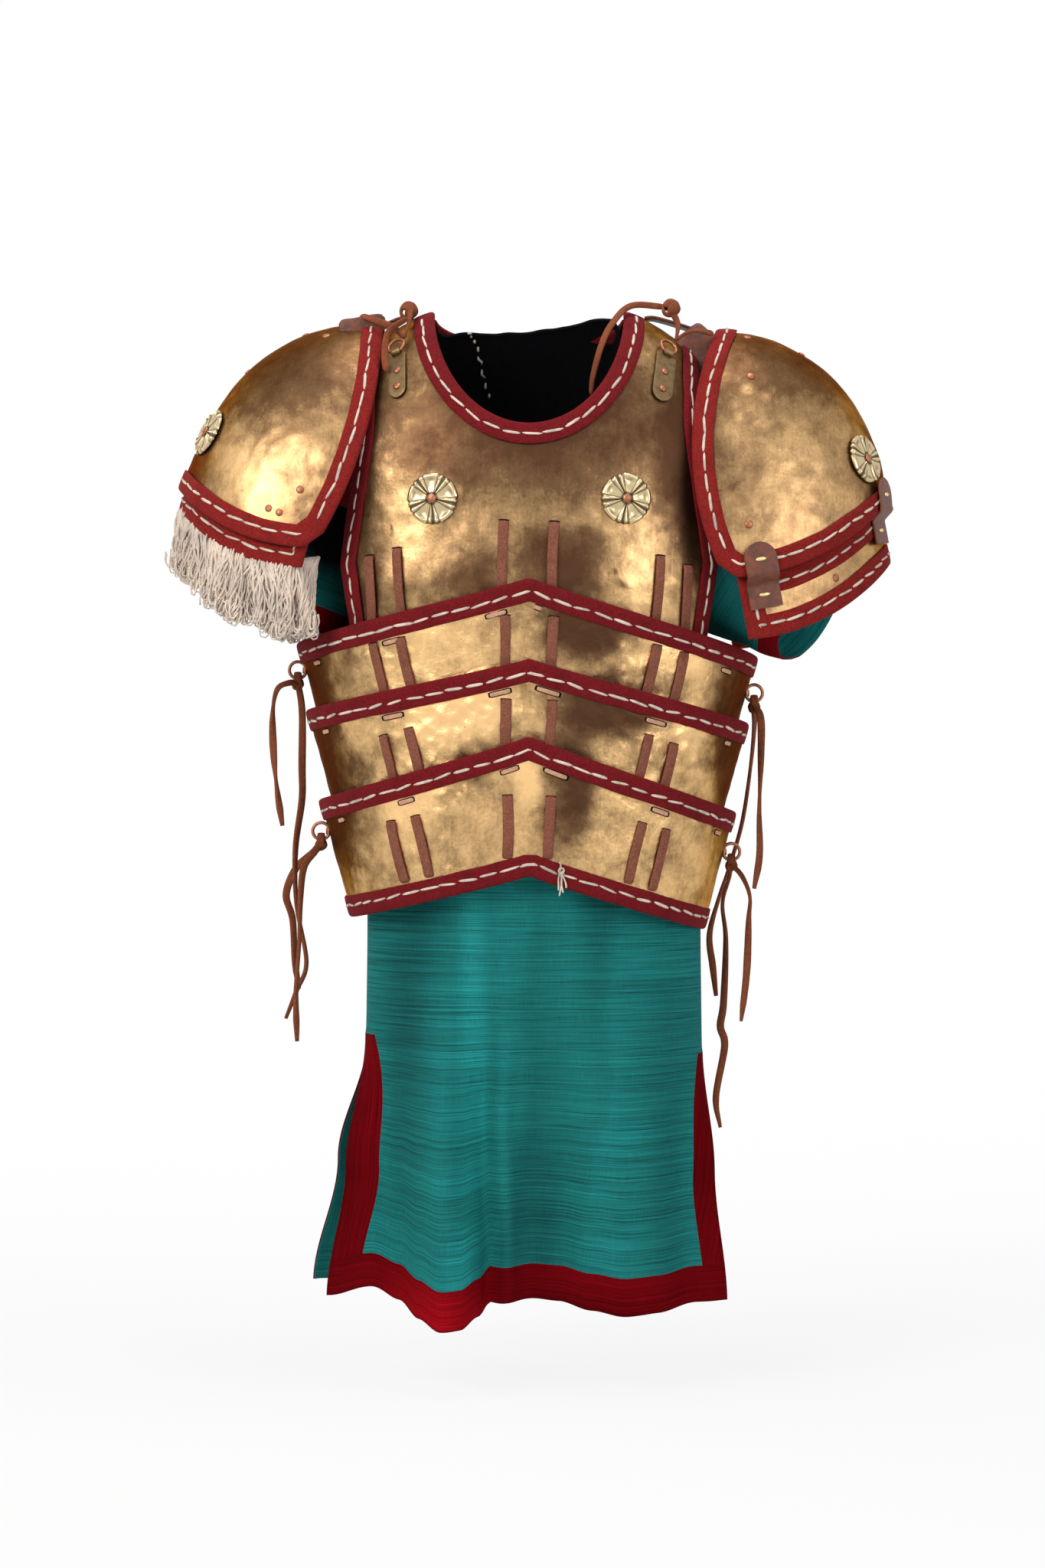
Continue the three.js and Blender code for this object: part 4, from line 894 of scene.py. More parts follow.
def shoulder_point(face, share, angle):
    rise = SHOULDER_RISE * roundness(ARMHOLE_TOP_HALF) * math.sin(angle)
    x = share * armhole_half(SHOULDER_START + rise)
    return Vector((x, FACING[face] * TORSO_DEPTH[face] * roundness(x) * math.cos(angle),
                   SHOULDER_START + SHOULDER_RISE * roundness(x) * math.sin(angle)))


def torso_plate_place(face, columns, trimmed=True):
    """Places on a torso plate; rows past the neck edge end on it when trimmed, or else all rows stop short of it"""
    shares = torso_shares(columns)
    straight = SHOULDER_START - PLATE_BOTTOM
    ridge = ridge_angle(face)
    top_angles = []
    for share in shares:
        x = share * ARMHOLE_TOP_HALF
        angle = ridge
        if abs(x) < NECK_HALF_WIDTH:
            z = NECK_TOP - NECK_DROP[face] * math.sqrt(1 - (x / NECK_HALF_WIDTH) ** 2)
            height = (z - SHOULDER_START) / (SHOULDER_RISE * roundness(x))
            angle = min(angle, math.asin(min(1.0, height)))
        top_angles.append(angle)

    def place(across, up):
        column = round(across * columns)
        share, top = shares[column], top_angles[column]
        last = ridge if trimmed else top
        run = last * SHOULDER_RISE * SHOULDER_ROW_SHARE
        along = up * (straight + run)
        if along < straight:
            z = PLATE_BOTTOM + along
            return torso_point(face, share * armhole_half(z), z)
        return shoulder_point(face, share, min(top, (along - straight) / run * last))
    return place


def neck_edge(face):
    trim = NECK_TRIM[face]
    return [torso_point(face, NECK_HALF_WIDTH * math.cos(a), NECK_TOP - NECK_DROP[face] * math.sin(a))
            for a in spread(NECK_SPANS, trim, math.pi - trim)]


def armhole_edge(face, sign):
    low, high = ARMHOLE_SPANS
    straight = [torso_point(face, sign * armhole_half(z), z) for z in spread(low, PLATE_BOTTOM, SHOULDER_START)]
    return straight + [shoulder_point(face, sign, a) for a in spread(high, 0, ridge_angle(face) * ARMHOLE_SHARE)[1:]]


# Lames: conical bands with a chevron edge

class Lame:
    def __init__(self, index, face):
        self.index, self.face = index, face
        depth = TORSO_DEPTH[face] + LAME_STEP[face]
        for i in range(1, index + 1):
            depth += LAME_STEP[face] - DEPTH_TAPER * (LAME_PEAKS[i - 1] - LAME_PEAKS[i])
        self.depth = depth

    def half_at(self, z):
        return LAME_SIDE_HALF[self.index] + SIDE_TAPER * (z - LAME_SIDE_Z[self.index])

    def depth_at(self, z):
        return self.depth + DEPTH_TAPER * (z - LAME_PEAKS[self.index])

    def level(self, p):
        return abs(p.x / self.half_at(p.z)) ** TORSO_POWER + (p.y / self.depth_at(p.z)) ** 2 - 1

    def point(self, share, z):
        left = max(0.0, 1 - abs(share) ** TORSO_POWER)
        return Vector((share * self.half_at(z), FACING[self.face] * self.depth_at(z) * math.sqrt(left), z))

    def hang(self, share, peak, fall):
        return peak - fall * abs(share) ** FALL_POWER - HANG_TILT * share * LAME_SIDE_HALF[self.index]

    def top(self, share):
        return self.hang(share, LAME_PEAKS[self.index], LAME_FALLS[self.index])

    def bottom(self, share):
        if self.index == len(LAME_PEAKS) - 1:
            return self.hang(share, HEM_PEAK, HEM_FALL)
        return self.top(share) - LAME_HEIGHT


def share_of(angle):
    return math.copysign(abs(math.sin(angle)) ** (2 / TORSO_POWER), angle)


LAMES = {face: [Lame(i, face) for i in range(len(LAME_PEAKS))] for face in FACING}
LAME_BODIES = ["upper", "middle", "lower"]


def lame_body(face, index):
    return f"{face}_lame_{LAME_BODIES[index]}"


# Domes of the pauldrons and the bands below them

class Dome:
    def __init__(self, side):
        spec = PAULDRONS[side]
        self.sign = SIDES[side]
        self.hub = Vector(spec["hub"]) * MM
        self.radii = [r * MM for r in spec["radii"]]
        self.half_depth = spec["half_depth"] * MM
        self.spec = spec

    def radius_at(self, angle):
        s = (self.spec["lower"] - angle) / (self.spec["lower"] - self.spec["crown"])
        s = min(DOME_PROFILE_END, max(DOME_PROFILE_START, s))
        r0, r1, r2, r3 = self.radii
        t = 1 - s
        return r0 * t ** 3 + 3 * r1 * s * t ** 2 + 3 * r2 * t * s ** 2 + r3 * s ** 3

    def level(self, p):
        q = p - self.hub
        radius = self.radius_at(math.degrees(math.atan2(self.sign * q.x, q.z)))
        return math.sqrt((q.x / radius) ** 2 + (q.z / radius) ** 2 + (q.y / self.half_depth) ** 2) - 1

    def point(self, angle, swing):
        radius = self.radius_at(angle) * math.cos(swing)
        turn = math.radians(angle)
        return self.hub + Vector((self.sign * radius * math.sin(turn), self.half_depth * math.sin(swing),
                                  radius * math.cos(turn)))

    def crown(self, swing):
        return self.spec["crown"] - self.spec["crown_spread"] * (1 - math.cos(swing))

    def lower(self, swing):
        return self.spec["lower"] + self.spec["lower_spread"] * (1 - math.cos(swing))

    def edge(self):
        swings = spread(DOME_SPANS[0], POLE_MARGIN - math.pi / 2, math.pi / 2 - POLE_MARGIN)
        crown = [self.point(self.crown(s), s) for s in swings]
        lower = [self.point(self.lower(s), s) for s in reversed(swings)]
        ends = []
        for a, b in ((crown[-1], lower[0]), (lower[-1], crown[0])):
            ends.append([a.lerp(b, t) for t in spread(DOME_SPANS[1], 0, 1)[1:-1]])
        return crown + ends[0] + lower + ends[1]


class Band:
    """The arm plate's surface, which carries on from the dome's lower edge along the arm"""

    def __init__(self, dome):
        self.dome = dome
        spec = dome.spec
        self.down = Vector((dome.sign * spec["drop_slope"], 0, -1)).normalized()
        self.swing = math.pi / 2 - math.radians(spec["margin"])
        self.inset, self.lean = spec["inset"] * MM, spec["lean"]
        self.top, self.bottom = spec["top"] * MM, spec["bottom"] * MM

    def edge(self, swing):
        return self.dome.point(self.dome.lower(swing), swing)

    def out(self, swing):
        ahead = self.edge(swing + 0.01) - self.edge(swing - 0.01)
        out = self.down.cross(ahead).normalized()
        return out if out.x * self.dome.sign > 0 else -out

    def at(self, swing, drop, outward=0.0):
        return (self.edge(swing) + self.down * drop
                + self.out(swing) * (outward - self.inset + self.lean * (drop - self.bottom)))

    def seat(self, p, swing, drop, probe=1e-4):
        """Nearest point of the surface, sought from a place on it"""
        for _ in range(5):
            base = self.at(swing, drop)
            around = (self.at(swing + probe, drop) - self.at(swing - probe, drop)) / (2 * probe)
            downward = (self.at(swing, drop + probe) - self.at(swing, drop - probe)) / (2 * probe)
            swing += (p - base).dot(around) / around.length_squared
            drop += (p - base).dot(downward) / downward.length_squared
        return self.at(swing, drop)

    def outline(self):
        """Closed edge of the plate as (swing, drop)"""
        long, short = ARM_SPANS
        top = [(s, self.top) for s in spread(long, -self.swing, self.swing)]
        right = [(self.swing, d) for d in spread(short, self.top, self.bottom)[1:-1]]
        bottom = [(s, self.bottom) for s in spread(long, self.swing, -self.swing)]
        left = [(-self.swing, d) for d in spread(short, self.bottom, self.top)[1:-1]]
        return top + right + bottom + left


DOMES = {side: Dome(side) for side in SIDES}
BANDS = {side: Band(DOMES[side]) for side in SIDES}


# Edge bindings and their stitches

EdgeFrame = namedtuple("EdgeFrame", "point normal inward sag")

BINDING_SHAPE = [(17.0, 2.0), (16.3, 2.75), (13.0, 3.05), (7.0, 3.2), (1.5, 3.1), (-1.0, 2.6), (-2.3, 1.4),
                 (-2.75, 0.0), (-2.3, -1.4), (-1.0, -2.6), (1.5, -3.0), (8.0, -3.0), (15.0, -2.9), (16.2, -2.3),
                 (15.8, -0.9), (8.0, -0.75), (1.0, -0.75), (-0.6, 0.0), (1.0, 0.75), (8.0, 0.75), (16.4, 0.9)]
BINDING_SECTION = [(reach * MM, height * MM) for reach, height in BINDING_SHAPE]
STITCH_LINE = 8.5 * MM
STITCH_HEIGHT = 3.0 * MM
BINDING_PUFF = 0.12


def edge_frames(path, normals, inside, closed=False, seat=None):
    """Frames along the edge of a plate, with mitred directions into the plate"""
    count = len(path)
    spans = [(path[(i + 1) % count] - path[i]).normalized() for i in range(count if closed else count - 1)]
    middle = count // 2
    facing = normals[middle].cross(spans[middle - 1]).dot(inside - path[middle])
    turn = 1 if facing > 0 else -1
    frames = []
    for i, point in enumerate(path):
        before = normals[i].cross(spans[i - 1] if closed or i > 0 else spans[0]).normalized()
        after = normals[i].cross(spans[i] if closed or i < count - 1 else spans[-1]).normalized()
        inward = (before + after) * (turn / max(0.5, 1 + before.dot(after)))
        sag = 0.0
        if seat:
            inner = point + inward * BINDING_REACH
            sag = (seat(i, inner) - inner).dot(normals[i])
        frames.append(EdgeFrame(point, normals[i], inward, sag))
    return frames


def on_edge(edge, reach, height):
    share = max(0.0, reach) / BINDING_REACH
    return edge.point + edge.inward * reach + edge.normal * (height + edge.sag * share * share)


def add_binding(bm, frames, closed=False, grow=0.0, seed=0):
    wander = bpy.context.scene.cuirass_leather.binding_wander

    def station(index):
        edge = frames[index]
        drift = noise.noise(edge.point * 45 + X * seed) * wander
        puff = 1 + noise.noise(edge.point * 70 + Y * seed) * BINDING_PUFF

        def at(corner):
            reach, height = corner
            lifted = height * puff + math.copysign(grow, height) if abs(height) > PLATE_HALF * 2 else height
            return on_edge(edge, reach + (drift if reach > STITCH_LINE else 0.0), lifted)
        return at

    add_section_sweep(bm, [station(i) for i in range(len(frames))], BINDING_SECTION, closed=closed)


def add_stitch(bm, path, normals, width):
    add_strip(bm, path, normals, squircle(width, width * 0.7, 6, 2.0), rounded_ends(0.14, 0.5),
              lambda t: width * 0.25 * math.sin(math.pi * t))


def add_running_stitches(bm, frames, rng, closed=False, grow=0.0):
    """A row of running stitches over the outer face of a binding"""
    sewing = bpy.context.scene.cuirass_thread
    pitch = sewing.stitch + sewing.gap
    row = [(on_edge(edge, STITCH_LINE, STITCH_HEIGHT + grow), edge.inward, edge.normal) for edge in frames]
    if closed:
        row.append(row[0])
    reach = reaches([point for point, _, _ in row])
    at = pitch * 0.3
    while at + sewing.stitch < reach[-1]:
        run = sewing.stitch * rng.uniform(0.82, 1.08)
        slant = rng.uniform(-1.1, 1.1) * MM
        shift = rng.uniform(-0.5, 0.5) * MM
        path, normals = [], []
        for t in spread(5, 0, 1):
            k, share = span_at(reach, min(reach[-1], at + run * t))
            point, inward, normal = (a.lerp(b, share) for a, b in zip(row[k], row[k + 1]))
            path.append(point + inward.normalized() * (shift + slant * (t - 0.5) * 2))
            normals.append(normal.normalized())
        add_stitch(bm, path, normals, sewing.width * rng.uniform(0.85, 1.15))
        at += pitch * rng.uniform(0.94, 1.06)


def level_frames(level, fine, inside, closed=False):
    """Edge frames on a surface that is given by its level"""
    path = resample(fine, bpy.context.scene.cuirass_leather.binding_step, closed)
    return edge_frames(path, [normal_on(level, p) for p in path], inside, closed, lambda i, p: seat_on(level, p))


def bind_edge(name, body, frames, replaced, closed=False, grow=0.0, seed=0):
    """A folded suede binding with its stitches, as two pieces"""
    bm = bmesh.new()
    add_binding(bm, frames, closed, grow, seed)
    # Bindings of the shoulder pieces take the suede copy that is painted lighter, as painted light
    leather = "shoulder_suede" if body.endswith("assembly") else "red_suede"
    finish_tubes(bm, f"{name}_suede", body, leather, replaced, 50)
    bm = bmesh.new()
    add_running_stitches(bm, frames, random.Random(name), closed, grow)
    finish_tubes(bm, f"{name}_stitches", body, "thread")


# Torso

def torso_centre(p):
    return Vector((0, 0, min(p.z, SHOULDER_START)))


TORSO_SEEDS = {"front": ("breastplate", 1), "back": ("back_plate", 2)}
TORSO_BINDING_GROW, DOME_BINDING_GROW = 0.3 * MM, 0.5 * MM


def make_torso_plates():
    for face, (name, seed) in TORSO_SEEDS.items():
        make_sheet(f"{name}_sheet", "torso", "torso_bronze", name, TORSO_GRID,
                   torso_plate_place(face, TORSO_GRID[0]), torso_centre, hammered(seed))
        chest = torso_point(face, 0, SHOULDER_START)
        bind_edge(f"{name}_neck", "torso", level_frames(torso_level, neck_edge(face), chest),
                  f"{name}_neck_binding", grow=TORSO_BINDING_GROW, seed=seed)
        for side, sign in SIDES.items():
            bind_edge(f"{name}_armhole_{side}", "torso", level_frames(torso_level, armhole_edge(face, sign), chest),
                      f"{name}_armhole_binding_{side}", grow=TORSO_BINDING_GROW, seed=seed + sign)


LAME_SEEDS = {"front": 4, "back": 10}
HEM_SEED = 9


def make_lames():
    for face in FACING:
        for lame in LAMES[face]:
            number = lame.index + 1
            name = f"{face}_lame_{number}"
            body = lame_body(face, lame.index)

            def place(across, up):
                share = share_of(lerp(-LAME_SPAN, LAME_SPAN, across))
                return lame.point(share, lerp(lame.bottom(share), lame.top(share), up))

            make_sheet(f"{name}_sheet", body, "lame_bronze", name, LAME_GRID, place,
                       lambda p: Vector((0, 0, p.z)), hammered(number + LAME_SEEDS[face], 34.0, 110.0))
            shares = [share_of(a) for a in spread(LAME_SPANS, -LAME_SPAN, LAME_SPAN)]
            middle = lame.point(0, LAME_PEAKS[lame.index] - LAME_HEIGHT / 2)
            top = [lame.point(s, lame.top(s)) for s in shares]
            bind_edge(f"{name}_top", body, level_frames(lame.level, top, middle), f"{name}_binding", seed=number)
            if number == len(LAME_PEAKS):
                hem = [lame.point(s, lame.bottom(s)) for s in shares]
                bind_edge(f"{face}_hem", body, level_frames(lame.level, hem, middle), f"{face}_hem_binding",
                          seed=HEM_SEED)


# Suspension laces and the small stitches that hold the bindings

LACE_LOW, FIRST_LACE_LIFT = 0.75 * MM, 0.6 * MM
LACE_STEPS = 22
LACE_DIP, LACE_DIP_SHARE = 4.2 * MM, 0.09
LACE_SWELL = 0.5 * MM
BACK_LACE_SPREAD = 0.97
# Painted shadow strips at the slots: their lift, margin, height and steps along the lace
SLOT_SHADOW_LIFT, SLOT_SHADOW_MARGIN, SLOT_SHADOW_HEIGHT = 0.85 * MM, 0.9 * MM, 0.4 * MM
SLOT_SHADOW_STEPS = [-2.5 * MM, -2.0 * MM, -1.5 * MM, -1.0 * MM]


LaceRow = namedtuple("LaceRow", "number body level place edge rise tuck lift")


def lace_rows(face):
    """Rows of laces from the top: each hangs on one plate, from a slot above an edge to a foot below it"""
    lames = LAMES[face]

    def on_torso(share, z):
        return torso_point(face, share * lames[0].half_at(lames[0].top(share)), z)

    rows = [LaceRow(1, "torso", torso_level, on_torso, lames[0].top, LACE_RISES[0], LACE_TUCK, FIRST_LACE_LIFT)]
    for lame, below, rise in zip(lames, [*lames[1:], None], LACE_RISES[1:]):
        rows.append(LaceRow(lame.index + 2, lame_body(face, lame.index), lame.level, lame.point,
                            below.top if below else lame.bottom, rise, LACE_TUCK if below else -BINDING_REACH, 0.0))
    return rows


def lace_dip(near):
    """How deep a lace sinks into its slot, at a share of its length from that end"""
    return LACE_DIP * max(0.0, 1 - near / LACE_DIP_SHARE) ** 2


def make_slot_shadows(name, body, places, width, lift):
    """Painted shadows: dark strips at the slots through which laces pass, standing for the shade there"""
    bm = bmesh.new()
    for seat, normal, along in places:
        line = [seat + along * step + normal * (lift + SLOT_SHADOW_LIFT) for step in SLOT_SHADOW_STEPS]
        add_strip(bm, line, [normal] * len(line), squircle(width + SLOT_SHADOW_MARGIN, SLOT_SHADOW_HEIGHT, 14, 3.0),
                  rounded_ends(0.3, 0.7))
    finish_tubes(bm, name, body, "black_felt")


def make_laces():
    leather = bpy.context.scene.cuirass_leather
    thickness = leather.lace_thickness
    for face in FACING:
        front = face == "front"
        for number, body, level, place, edge, rise, tuck, lift in lace_rows(face):
            last = number == len(LACE_RISES)
            rng = random.Random(f"lace {face} {number}")
            slots = []
            bm = bmesh.new()
            for top, low in zip(LACE_TOP_SHARES, LACE_FOOT_SHARES):
                foot = low if front else top * BACK_LACE_SPREAD
                start, end = edge(top) + rise, edge(foot) - tuck
                if not front and not last:
                    end += LACE_TUCK + BACK_LACE_CLEAR
                path, normals = [], []
                bow = rng.uniform(-1.2, 1.2) * MM
                for t in spread(LACE_STEPS, 0, 1):
                    middle = math.sin(math.pi * t)
                    seat = seat_on(level, place(lerp(top, foot, t), lerp(start, end, t)) + X * bow * middle)
                    sink = lace_dip(t) + (0.0 if front and not last else lace_dip(1 - t))
                    normals.append(normal_on(level, seat))
                    path.append(seat + normals[-1] * (LACE_LOW + lift + thickness / 2 + LACE_SWELL * middle - sink))
                width = leather.lace_width * rng.uniform(0.93, 1.07)
                add_strip(bm, path, normals, squircle(width, thickness, 14, 3.4), rounded_ends(0.06, 0.55))
                slots.append((seat_on(level, path[0]), normals[0], (path[0] - path[4]).normalized()))
            # A dark strip at each slot, a painted shadow
            make_slot_shadows(f"{face}_lace_slot_shadows_{number}", body, slots, leather.lace_width, lift)
            finish_tubes(bm, f"{face}_laces_{number}", body, "thong_suede",
                         f"suspension_lace_{number}" if front else None)


# Short lace stitches of each front lame, as shares of its half width
TACK_SHARES = [
    [(-0.62, -0.53), (-0.18, -0.09), (0.02, 0.05), (0.84, 0.89), (-0.94, -0.91)],
    [(-0.65, -0.55), (-0.175, -0.075), (0.025, 0.135), (0.51, 0.61), (-0.94, -0.91), (0.9, 0.93)],
    [(-0.61, -0.53), (-0.13, -0.045), (0.06, 0.175), (0.57, 0.66), (-0.92, -0.89), (0.91, 0.94)],
]
TACK_DROP, TACK_HEIGHT, TACK_DIP = 20.5 * MM, 1.7 * MM, 2.6 * MM
TACK_WIDTH, TACK_THICKNESS = 3.8 * MM, 2.2 * MM
# Dark strip round each tack, a painted shadow
TACK_SHADOW_WIDTH, TACK_SHADOW_HEIGHT, TACK_SHADOW_REACH = 5.4 * MM, 0.5 * MM, 0.06


def make_tacks():
    """Short lace stitches that show below the bindings of the front lames, each on a dark strip that is a painted
    shadow
    """
    for lame in LAMES["front"]:
        bm = bmesh.new()
        shadow_strips = bmesh.new()
        for low, high in TACK_SHARES[lame.index]:
            path, normals = [], []
            for t in spread(8, 0, 1):
                share = lerp(low, high, t)
                seat = seat_on(lame.level, lame.point(share, lame.top(share) - TACK_DROP))
                normals.append(normal_on(lame.level, seat))
                path.append(seat + normals[-1] * (TACK_HEIGHT - TACK_DIP * abs(2 * t - 1) ** 4))
            add_strip(bm, path, normals, squircle(TACK_WIDTH, TACK_THICKNESS, 10, 3.0), rounded_ends(0.12, 0.55))
            # A dark strip a little longer than the tack, painted shadow round it
            rim = [seat_on(lame.level, point) + normal * SLOT_SHADOW_LIFT for point, normal in zip(path, normals)]
            rim[0], rim[-1] = rim[0].lerp(rim[1], -TACK_SHADOW_REACH), rim[-1].lerp(rim[-2], -TACK_SHADOW_REACH)
            add_strip(shadow_strips, rim, normals, squircle(TACK_SHADOW_WIDTH, TACK_SHADOW_HEIGHT, 10, 3.0), rounded_ends(0.06, 0.7))
        body = lame_body("front", lame.index)
        finish_tubes(shadow_strips, f"front_tack_slot_shadows_{lame.index + 1}", body, "black_felt")
        finish_tubes(bm, f"front_tacks_{lame.index + 1}", body, "tack_leather")


TUFT_SHARE, TUFT_RISE, TUFT_HEIGHT = 0.16, 12 * MM, 4.6 * MM
TUFT_KNOT = 2.2 * MM
# Each loose end as (reach, fall) in mm
TUFT_ENDS = [(-3.5, -17), (-1, -22), (1.5, -19), (4, -15), (-2, 8)]


def make_hem_tuft():
    """Loose ends of the stitching thread at the middle of the front hem"""
    lame = LAMES["front"][-1]
    seat = lame.point(TUFT_SHARE, lame.bottom(TUFT_SHARE) + TUFT_RISE)
    normal = normal_on(lame.level, seat)
    bm = bmesh.new()
    add_knot(bm, seat + normal * (TUFT_HEIGHT - 0.1 * MM), normal, TUFT_KNOT, TUFT_KNOT, 1.8 * MM, 1.4)
    for reach, fall in TUFT_ENDS:
        path = [seat + normal * TUFT_HEIGHT + X * reach * MM * t + Z * fall * MM * t ** 1.2
                + X * math.sin(t * 5 + reach) * 0.9 * MM for t in spread(8, 0, 1)]
        add_strip(bm, path, [normal] * len(path), squircle(1.5 * MM, 1.2 * MM, 6, 2.0))
    finish_tubes(bm, "hem_thread_tuft", "front_lame_lower", "thread")


# Side rings, staples and ties

RING_RADIUS = 7.7 * MM
RING_WIRE = 3.0 * MM
LUG_REACH = 6.4 * MM
SIDE_RING_Z = {"upper": {"right": -312, "left": -333}, "lower": {"right": -459, "left": -478}}
RING_LAMES = {"upper": 0, "lower": 2}
LOOP_RADIUS = 4.7 * MM
TIE_ROUTES = {
    "upper_right": {
        "front": [(-219, -14, -324), (-229, -20, -330), (-233, -22, -352), (-232, -23, -390), (-229, -24, -420),
                  (-224, -24, -454)],
        "back": [(-208, 6, -350), (-208, 5, -400), (-208, 4, -430), (-214, 4, -476), (-213, 4, -526),
                 (-204, 5, -579), (-213, 6, -605), (-223, 6, -631)],
    },
    "lower_right": {
        "front": [(-196, -12, -478), (-205, -17, -492), (-208, -18, -520), (-209, -20, -560), (-212, -20, -605),
                  (-211, -20, -650)],
        "back": [(-200, 14, -480), (-215, 24, -494), (-224, 26, -518), (-218, 26, -541), (-216, 26, -579),
                 (-212, 26, -605)],
    },
    "upper_left": {
        "front": [(211, -14, -356), (211, -18, -390), (209, -24, -441), (209, -28, -480), (204, -29, -511)],
        "back": [(207, 12, -362), (204, 20, -400), (197, 28, -450), (186, 32, -490), (176, 33, -520),
                 (167, 34, -555), (170, 34, -585), (173, 34, -612)],
    },
    "lower_left": {
        "front": [(194, -13, -500), (201, -15, -518), (200, -16, -539), (198, -16, -588), (193, -16, -632)],
        "back": [(184, 12, -502), (178, 18, -526), (181, 18, -559), (179, 18, -617), (176, 18, -639),
                 (180, 18, -657), (172, 18, -704), (176, 18, -732)],
    },
}


def ring_place(row, side):
    """(lug centre, ring centre, wire at the bottom of the ring)"""
    lame = LAMES["front"][RING_LAMES[row]]
    sign = SIDES[side]
    z = SIDE_RING_Z[row][side] * MM
    edge = lame.point(sign * share_of(LAME_SPAN), z)
    lug = Vector((sign * lame.half_at(z), edge.y + LUG_REACH, z))
    centre = lug + X * (sign * RING_RADIUS)
    return lug, centre, centre - Z * RING_RADIUS


STAPLE_EYE, STAPLE_WIDTH = 3.0 * MM, 6.0 * MM
STAPLE_LEG_HEIGHTS, STAPLE_LEG_WIDTH, STAPLE_WIRE = (-1.6, 1.6), 2.6 * MM, 1.0 * MM


def make_ring(name, body, centre, axis, replaced):
    bm = bmesh.new()
    add_ring(bm, centre, axis, RING_RADIUS, squircle(RING_WIRE, RING_WIRE, 12, 2.0), 40)
    finish_tubes(bm, name, body, "copper", replaced)


def make_side_rings():
    """Rings at the sides, each in a staple whose two legs run over the front lame"""
    for row in SIDE_RING_Z:
        for side, sign in SIDES.items():
            lug, centre, _ = ring_place(row, side)
            make_ring(f"copper_ring_{row}_{side}", f"ring_{row}_{side}", centre, Y, f"side_ring_{row}_{side}")
            bm = bmesh.new()
            add_ring(bm, lug, Z, STAPLE_EYE, squircle(STAPLE_WIRE, STAPLE_WIDTH, 10, 3.5), 24)
            for height in STAPLE_LEG_HEIGHTS:
                start = lug + Vector((-sign, -3.0, height)) * MM
                path = [start + Vector((sign * min(1.2, 0.5 + i * 0.2), -i * 2.4, 0)) * MM for i in range(6)]
                add_strip(bm, path, [X * sign] * len(path), squircle(STAPLE_LEG_WIDTH, STAPLE_WIRE, 8, 3.5))
            finish_tubes(bm, f"staple_{row}_{side}", lame_body("front", RING_LAMES[row]), "copper", smooth_angle=50)


TIE_TIP_SHARE, TIE_TIP_SLOPE = 0.9, 4.5
TIE_KNOT_DROP, TIE_KNOT_RADIUS = 5.5 * MM, 3.8 * MM


def make_side_ties():
    leather = bpy.context.scene.cuirass_leather
    for row in SIDE_RING_Z:
        for side in SIDES:
            name = f"{row}_{side}"
            body = f"ring_{name}"
            _, _, wire = ring_place(row, side)
            rng = random.Random(f"tie {name}")
            bm = bmesh.new()
            add_ring(bm, wire, X, LOOP_RADIUS, squircle(leather.tie_thickness, leather.tie_width, 12, 3.0), 28)
            add_knot(bm, wire - Z * TIE_KNOT_DROP, Z, TIE_KNOT_RADIUS, leather.tie_width * 0.9, leather.tie_thickness)
            finish_tubes(bm, f"tie_loop_{name}", body, "brown_suede", f"side_tie_{name}")
            for face, points in TIE_ROUTES[name].items():
                start = wire + Vector((0, FACING[face] * LOOP_RADIUS / 2, -LOOP_RADIUS * 0.8))
                path = resample(curved([start] + [Vector(p) * MM for p in points], 12), 3.2 * MM)
                wobble = rng.uniform(0, 6)
                spin = rng.uniform(1.2, 2.6)
                normals = carried_normals(path, Y, lambda t: spin * math.sin(2.4 * t + wobble) + 1.1 * t)
                tail = make_strip(f"tie_tail_{face}_{name}", body, "brown_suede", path, normals,
                                  squircle(leather.tie_width, leather.tie_thickness, 10, 3.0),
                                  lambda t: 1.0 - max(0.0, t - TIE_TIP_SHARE) * TIE_TIP_SLOPE)
                reaches(path)[-1]


# Shoulder tabs, rings, laces and straps

TAB_WIDTH = {"right": 17 * MM, "left": 20 * MM}
TAB_LENGTH = {"right": 40 * MM, "left": 43 * MM}
TAB_THICKNESS = 2 * MM
TAB_TOP = {"right": (-117, -34), "left": (122, -34)}
TAB_LEAN = {"right": 0.02, "left": -0.14}
TAB_LOW = 1.1 * MM
TAB_RIVET_SHARES = (0.38, 0.74)
RIVET_RADIUS, TAB_RIVET_HEIGHT = 3.6 * MM, 1.5 * MM
EYE_BORE, EYE_OUTER, EYE_LENGTH = 2.4 * MM, 3.4 * MM, 9 * MM


def tab_frame(side):
    """(path down the tab, normal and up at its top, eye centre, ring centre, direction of the eye)"""
    x, z = (v * MM for v in TAB_TOP[side])
    path = [torso_point("front", x + TAB_LEAN[side] * d, z - d) for d in spread(40, 0, TAB_LENGTH[side])]
    normal = normal_on(torso_level, path[0])
    up = (path[0] - path[5]).normalized()
    eye = path[0] + normal * (TAB_LOW + EYE_OUTER) + up * EYE_BORE
    return path, normal, up, eye, eye + up * RING_RADIUS, normal.cross(up).normalized()


